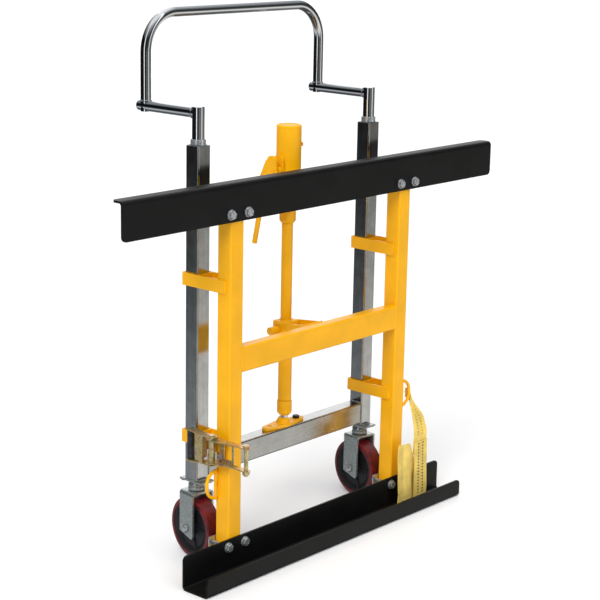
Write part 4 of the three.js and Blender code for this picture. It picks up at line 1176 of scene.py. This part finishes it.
def make_welds():
    """Fillet weld beads where the tubes and plates meet, each stopping short of the tubes' round corners."""
    radius = settings("edges").weld_radius
    bm = bmesh.new()
    short = 0.004
    for side, sign in SIDES:
        low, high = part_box(f"upright_{side}")
        inner = high.x if sign < 0 else low.x
        bar_low, bar_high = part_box("crossbar")
        for y in (bar_low.y + 0.0006, bar_high.y - 0.0002):
            start, end = Vector((inner, y, bar_low.z + short)), Vector((inner, y, bar_high.z - short))
            weld_bead(bm, start, end, radius)
        for z in (bar_low.z, bar_high.z):
            start, end = Vector((inner, bar_low.y + short, z)), Vector((inner, bar_high.y - short, z))
            weld_bead(bm, start, end, radius)
        for level in ("upper", "lower"):
            guide_low, guide_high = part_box(f"guide_{level}_{side}")
            for x in (low.x, high.x):
                way = -1 if x == low.x else 1
                start = Vector((x + way * 0.001, guide_low.y + 0.0004, guide_low.z + 0.003))
                end = Vector((x + way * 0.001, guide_low.y + 0.0004, guide_high.z - 0.003))
                weld_bead(bm, start, end, radius)
                for z in (guide_low.z, guide_high.z):
                    start, end = Vector((x, guide_low.y + 0.002, z)), Vector((x, high.y - 0.003, z))
                    weld_bead(bm, start, end, radius * 0.9)
    low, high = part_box("jack_bracket")
    for z in (low.z, high.z):
        weld_bead(bm, Vector((low.x, low.y, z)), Vector((high.x, low.y, z)), radius)
    emit(bm, "frame_welds", "upright_left")
    bm = bmesh.new()
    for side, sign in SIDES:
        post_low, post_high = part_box(f"post_{side}")
        inner = post_high.x if sign < 0 else post_low.x
        bar_low, bar_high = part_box("base_bar")
        for y in (bar_low.y, bar_high.y):
            start, end = Vector((inner, y, bar_low.z + short)), Vector((inner, y, bar_high.z - short))
            weld_bead(bm, start, end, radius)
        start = Vector((inner, bar_low.y + short, bar_high.z))
        weld_bead(bm, start, Vector((inner, bar_high.y - short, bar_high.z)), radius)
        for y in (post_low.y, post_high.y):
            start = Vector((post_low.x + short, y, post_low.z))
            weld_bead(bm, start, Vector((post_high.x - short, y, post_low.z)), radius)
        for x in (post_low.x, post_high.x):
            start = Vector((x, post_low.y + short, post_low.z))
            weld_bead(bm, start, Vector((x, post_high.y - short, post_low.z)), radius)
    emit(bm, "carrier_welds", "base_bar")


# What the metal reflects, by height from straight down (0) through the horizon (0.5) to straight up (1).
# Both sides are pale just below the horizon, where the floor is lit, and bright overhead, and dark between.
# The dark side is the back and the left, and the open side, on the front and the right, is paler.
DARK_SIDE = (
    (0, "3C3E40"), (0.16, "54575A"), (0.27, "D2D5D8"), (0.35, "8E9296"), (0.38, "5A5D60"),
    (0.42, "17181A"), (0.7, "101113"), (0.86, "9A9C9E"), (0.95, "F4F4F4"),
)
OPEN_SIDE = (
    (0, "40403E"), (0.16, "5C5C5A"), (0.27, "F2F0EC"), (0.345, "F2F0EC"), (0.38, "CCCAC6"),
    (0.43, "72726F"), (0.5, "404142"), (0.66, "303132"), (0.82, "9A9C9E"), (0.92, "FFFFFF"),
)
# Upright white panels round the object: the bearing from +X towards +Y and half the width, in degrees.
SOFTBOXES = ((-165, 7), (-68, 6), (49, 28))
SOFTBOX_WHITE = (1.3, 1.3, 1.32, 1)


def studio_ramp(tree, height, stops):
    """The colour at a height, between the nearest stops."""
    ramp = add_node(tree, "ShaderNodeValToRGB", {"Fac": height})
    elements = ramp.color_ramp.elements
    elements[0].position, elements[0].color = stops[0][0], linear(stops[0][1])
    elements[1].position, elements[1].color = stops[-1][0], linear(stops[-1][1])
    for position, colour in stops[1:-1]:
        elements.new(position).color = linear(colour)
    return ramp.outputs["Color"]


def make_stage():
    """Floor, studio light and camera."""
    stage = settings("stage")
    scene = bpy.context.scene
    scene.view_settings.view_transform = "Standard"
    bm = bmesh.new()
    bmesh.ops.create_grid(bm, x_segments=1, y_segments=1, size=40)
    mesh = bpy.data.meshes.new("studio_floor")
    bm.to_mesh(mesh)
    bm.free()
    floor = bpy.data.objects.new("studio_floor", mesh)
    scene.collection.objects.link(floor)
    material, tree, shader = new_material("Matt studio floor", stage.floor, 0, 0.9)
    mesh.materials.append(material)
    floor.visible_glossy = False

    world = bpy.data.worlds.new("Studio")
    world.use_nodes = True
    tree = world.node_tree
    background = tree.nodes["Background"]
    place = add_node(tree, "ShaderNodeTexCoord")
    split = add_node(tree, "ShaderNodeSeparateXYZ", {"Vector": place.outputs["Generated"]})
    x, y, z = (split.outputs[axis] for axis in "XYZ")
    whole = {"From Min": -1, "From Max": 1}
    height = add_node(tree, "ShaderNodeMapRange", {"Value": z}, whole).outputs["Result"]
    dark_side = studio_ramp(tree, height, DARK_SIDE)
    open_side = studio_ramp(tree, height, OPEN_SIDE)
    to_right = add_node(tree, "ShaderNodeMath", {0: x}, {1: 0.75}, operation="MULTIPLY").outputs[0]
    openness = add_node(
        tree, "ShaderNodeMath", {0: y, 2: to_right}, {1: -0.66}, operation="MULTIPLY_ADD"
    ).outputs[0]
    share = add_node(
        tree,
        "ShaderNodeMapRange",
        {"Value": openness},
        {"From Min": -0.2, "From Max": 0.35},
        interpolation_type="SMOOTHSTEP",
    ).outputs["Result"]
    sides = {"Factor": share, "A": dark_side, "B": open_side}
    room = add_node(tree, "ShaderNodeMix", sides, data_type="RGBA")
    bearing = add_node(tree, "ShaderNodeMath", {0: y, 1: x}, operation="ARCTAN2").outputs[0]
    above = add_node(tree, "ShaderNodeMath", {0: z}, {1: -0.3}, operation="GREATER_THAN").outputs[0]
    lit = room.outputs[2]
    for degrees, half_width in SOFTBOXES:
        values = {1: math.radians(degrees), 2: math.radians(half_width)}
        inside = add_node(tree, "ShaderNodeMath", {0: bearing}, values, operation="COMPARE").outputs[0]
        box = add_node(tree, "ShaderNodeMath", {0: inside, 1: above}, operation="MULTIPLY").outputs[0]
        mixer = add_node(tree, "ShaderNodeMix", data_type="RGBA")
        mixer.inputs[7].default_value = SOFTBOX_WHITE
        tree.links.new(box, mixer.inputs[0])
        tree.links.new(lit, mixer.inputs[6])
        lit = mixer.outputs[2]
    tree.links.new(lit, background.inputs["Color"])
    background.inputs["Strength"].default_value = stage.fill
    scene.world = world

    # The lamps light the object and cast its shadow, and don't show in its reflections.
    for name, energy, angle, towards in (
        ("key", stage.key, 35, (0.75, 0.28, -0.75)),
        ("front", 0.35 * stage.key, 60, (0.1, 0.9, -0.5)),
    ):
        light = bpy.data.lights.new(name, "SUN")
        light.energy = energy
        light.angle = math.radians(angle)
        lamp = bpy.data.objects.new(name, light)
        lamp.rotation_euler = Vector(towards).to_track_quat("-Z", "Y").to_euler()
        lamp.visible_glossy = False
        scene.collection.objects.link(lamp)

    camera_data = bpy.data.cameras.new("camera")
    camera_data.lens = 101.8
    camera_data.sensor_width = 36
    camera = bpy.data.objects.new("camera", camera_data)
    scene.collection.objects.link(camera)
    yaw, pitch, roll = math.radians(48.63), math.radians(-13.6), math.radians(1.1)
    forward = Vector((math.sin(yaw) * math.cos(pitch), math.cos(yaw) * math.cos(pitch), math.sin(pitch)))
    right = Vector((math.cos(yaw), -math.sin(yaw), 0))
    up = right.cross(forward)
    tilted = right * math.cos(roll) + up * math.sin(roll)
    tilted_up = up * math.cos(roll) - right * math.sin(roll)
    matrix = Matrix((tilted, tilted_up, -forward)).transposed().to_4x4()
    matrix.translation = Vector((-2.9787, -2.5069, 1.5414))
    camera.matrix_world = matrix
    scene.camera = camera


# ---- Operators ----


class MOVER_OT_stage(bpy.types.Operator):
    """Make the floor, the studio light and the camera"""

    bl_idname = "mover.stage"
    bl_label = "Stage"

    def execute(self, context):
        make_stage()
        return {"FINISHED"}


class MOVER_OT_tubes(bpy.types.Operator):
    """Make the uprights, crossbar, posts and base bar"""

    bl_idname = "mover.tubes"
    bl_label = "Square Tubes"

    def execute(self, context):
        make_tubes()
        return {"FINISHED"}


class MOVER_OT_plates(bpy.types.Operator):
    """Make the beam, the toe channel, the guides, the bracket and the clamp plates"""

    bl_idname = "mover.plates"
    bl_label = "Bent Plates"

    def execute(self, context):
        make_plates()
        return {"FINISHED"}


class MOVER_OT_clamp_bolts(bpy.types.Operator):
    """Make the eight clamp bolts"""

    bl_idname = "mover.clamp_bolts"
    bl_label = "Clamp Bolts"

    def execute(self, context):
        make_clamp_bolts()
        return {"FINISHED"}


class MOVER_OT_handle(bpy.types.Operator):
    """Make the push handle and its collars"""

    bl_idname = "mover.handle"
    bl_label = "Push Handle"

    def execute(self, context):
        make_handle()
        return {"FINISHED"}


class MOVER_OT_casters(bpy.types.Operator):
    """Make the two swivel casters"""

    bl_idname = "mover.casters"
    bl_label = "Casters"

    def execute(self, context):
        make_casters()
        return {"FINISHED"}


class MOVER_OT_jack(bpy.types.Operator):
    """Make the jack's foot, ram, gland nut and cylinder"""

    bl_idname = "mover.jack"
    bl_label = "Jack"

    def execute(self, context):
        make_jack()
        return {"FINISHED"}


class MOVER_OT_pump(bpy.types.Operator):
    """Make the valve block, reservoir, pump and release knob"""

    bl_idname = "mover.pump"
    bl_label = "Pump and Reservoir"

    def execute(self, context):
        make_pump()
        return {"FINISHED"}


class MOVER_OT_loops(bpy.types.Operator):
    """Make the two strap loops"""

    bl_idname = "mover.loops"
    bl_label = "Strap Loops"

    def execute(self, context):
        make_loops()
        return {"FINISHED"}


class MOVER_OT_ratchet(bpy.types.Operator):
    """Make the ratchet buckle"""

    bl_idname = "mover.ratchet"
    bl_label = "Ratchet Buckle"

    def execute(self, context):
        make_ratchet()
        return {"FINISHED"}


class MOVER_OT_strap(bpy.types.Operator):
    """Make the webbing strap and its stitching"""

    bl_idname = "mover.strap"
    bl_label = "Webbing Strap"

    def execute(self, context):
        make_strap()
        return {"FINISHED"}


class MOVER_OT_welds(bpy.types.Operator):
    """Make the weld beads"""

    bl_idname = "mover.welds"
    bl_label = "Weld Beads"

    def execute(self, context):
        make_welds()
        return {"FINISHED"}


STEPS = (
    MOVER_OT_stage,
    MOVER_OT_tubes,
    MOVER_OT_plates,
    MOVER_OT_clamp_bolts,
    MOVER_OT_handle,
    MOVER_OT_casters,
    MOVER_OT_jack,
    MOVER_OT_pump,
    MOVER_OT_loops,
    MOVER_OT_ratchet,
    MOVER_OT_strap,
    MOVER_OT_welds,
)


class MOVER_PT_pieces(bpy.types.Panel):
    """Lists the steps in the order in which they run"""

    bl_idname = "MOVER_PT_pieces"
    bl_label = "Panel Mover"
    bl_space_type = "VIEW_3D"
    bl_region_type = "UI"
    bl_category = "Panel Mover"

    def draw(self, context):
        for step in STEPS:
            self.layout.operator(step.bl_idname)
        for name in GROUPS:
            group = getattr(context.scene, "mover_" + name)
            box = self.layout.box()
            for key in group.__annotations__:
                box.prop(group, key)


GROUPS = {"paint": PaintSettings, "edges": EdgeSettings, "strap": StrapSettings, "stage": StageSettings}
CLASSES = (*GROUPS.values(), *STEPS, MOVER_PT_pieces)


def register():
    for cls in CLASSES:
        bpy.utils.register_class(cls)
    for name, group in GROUPS.items():
        setattr(bpy.types.Scene, "mover_" + name, bpy.props.PointerProperty(type=group))


def unregister():
    for name in GROUPS:
        delattr(bpy.types.Scene, "mover_" + name)
    for cls in reversed(CLASSES):
        bpy.utils.unregister_class(cls)


def main():
    register()
    for step in STEPS:
        getattr(bpy.ops.mover, step.bl_idname.split(".")[1])()


if __name__ == "__main__":
    main()
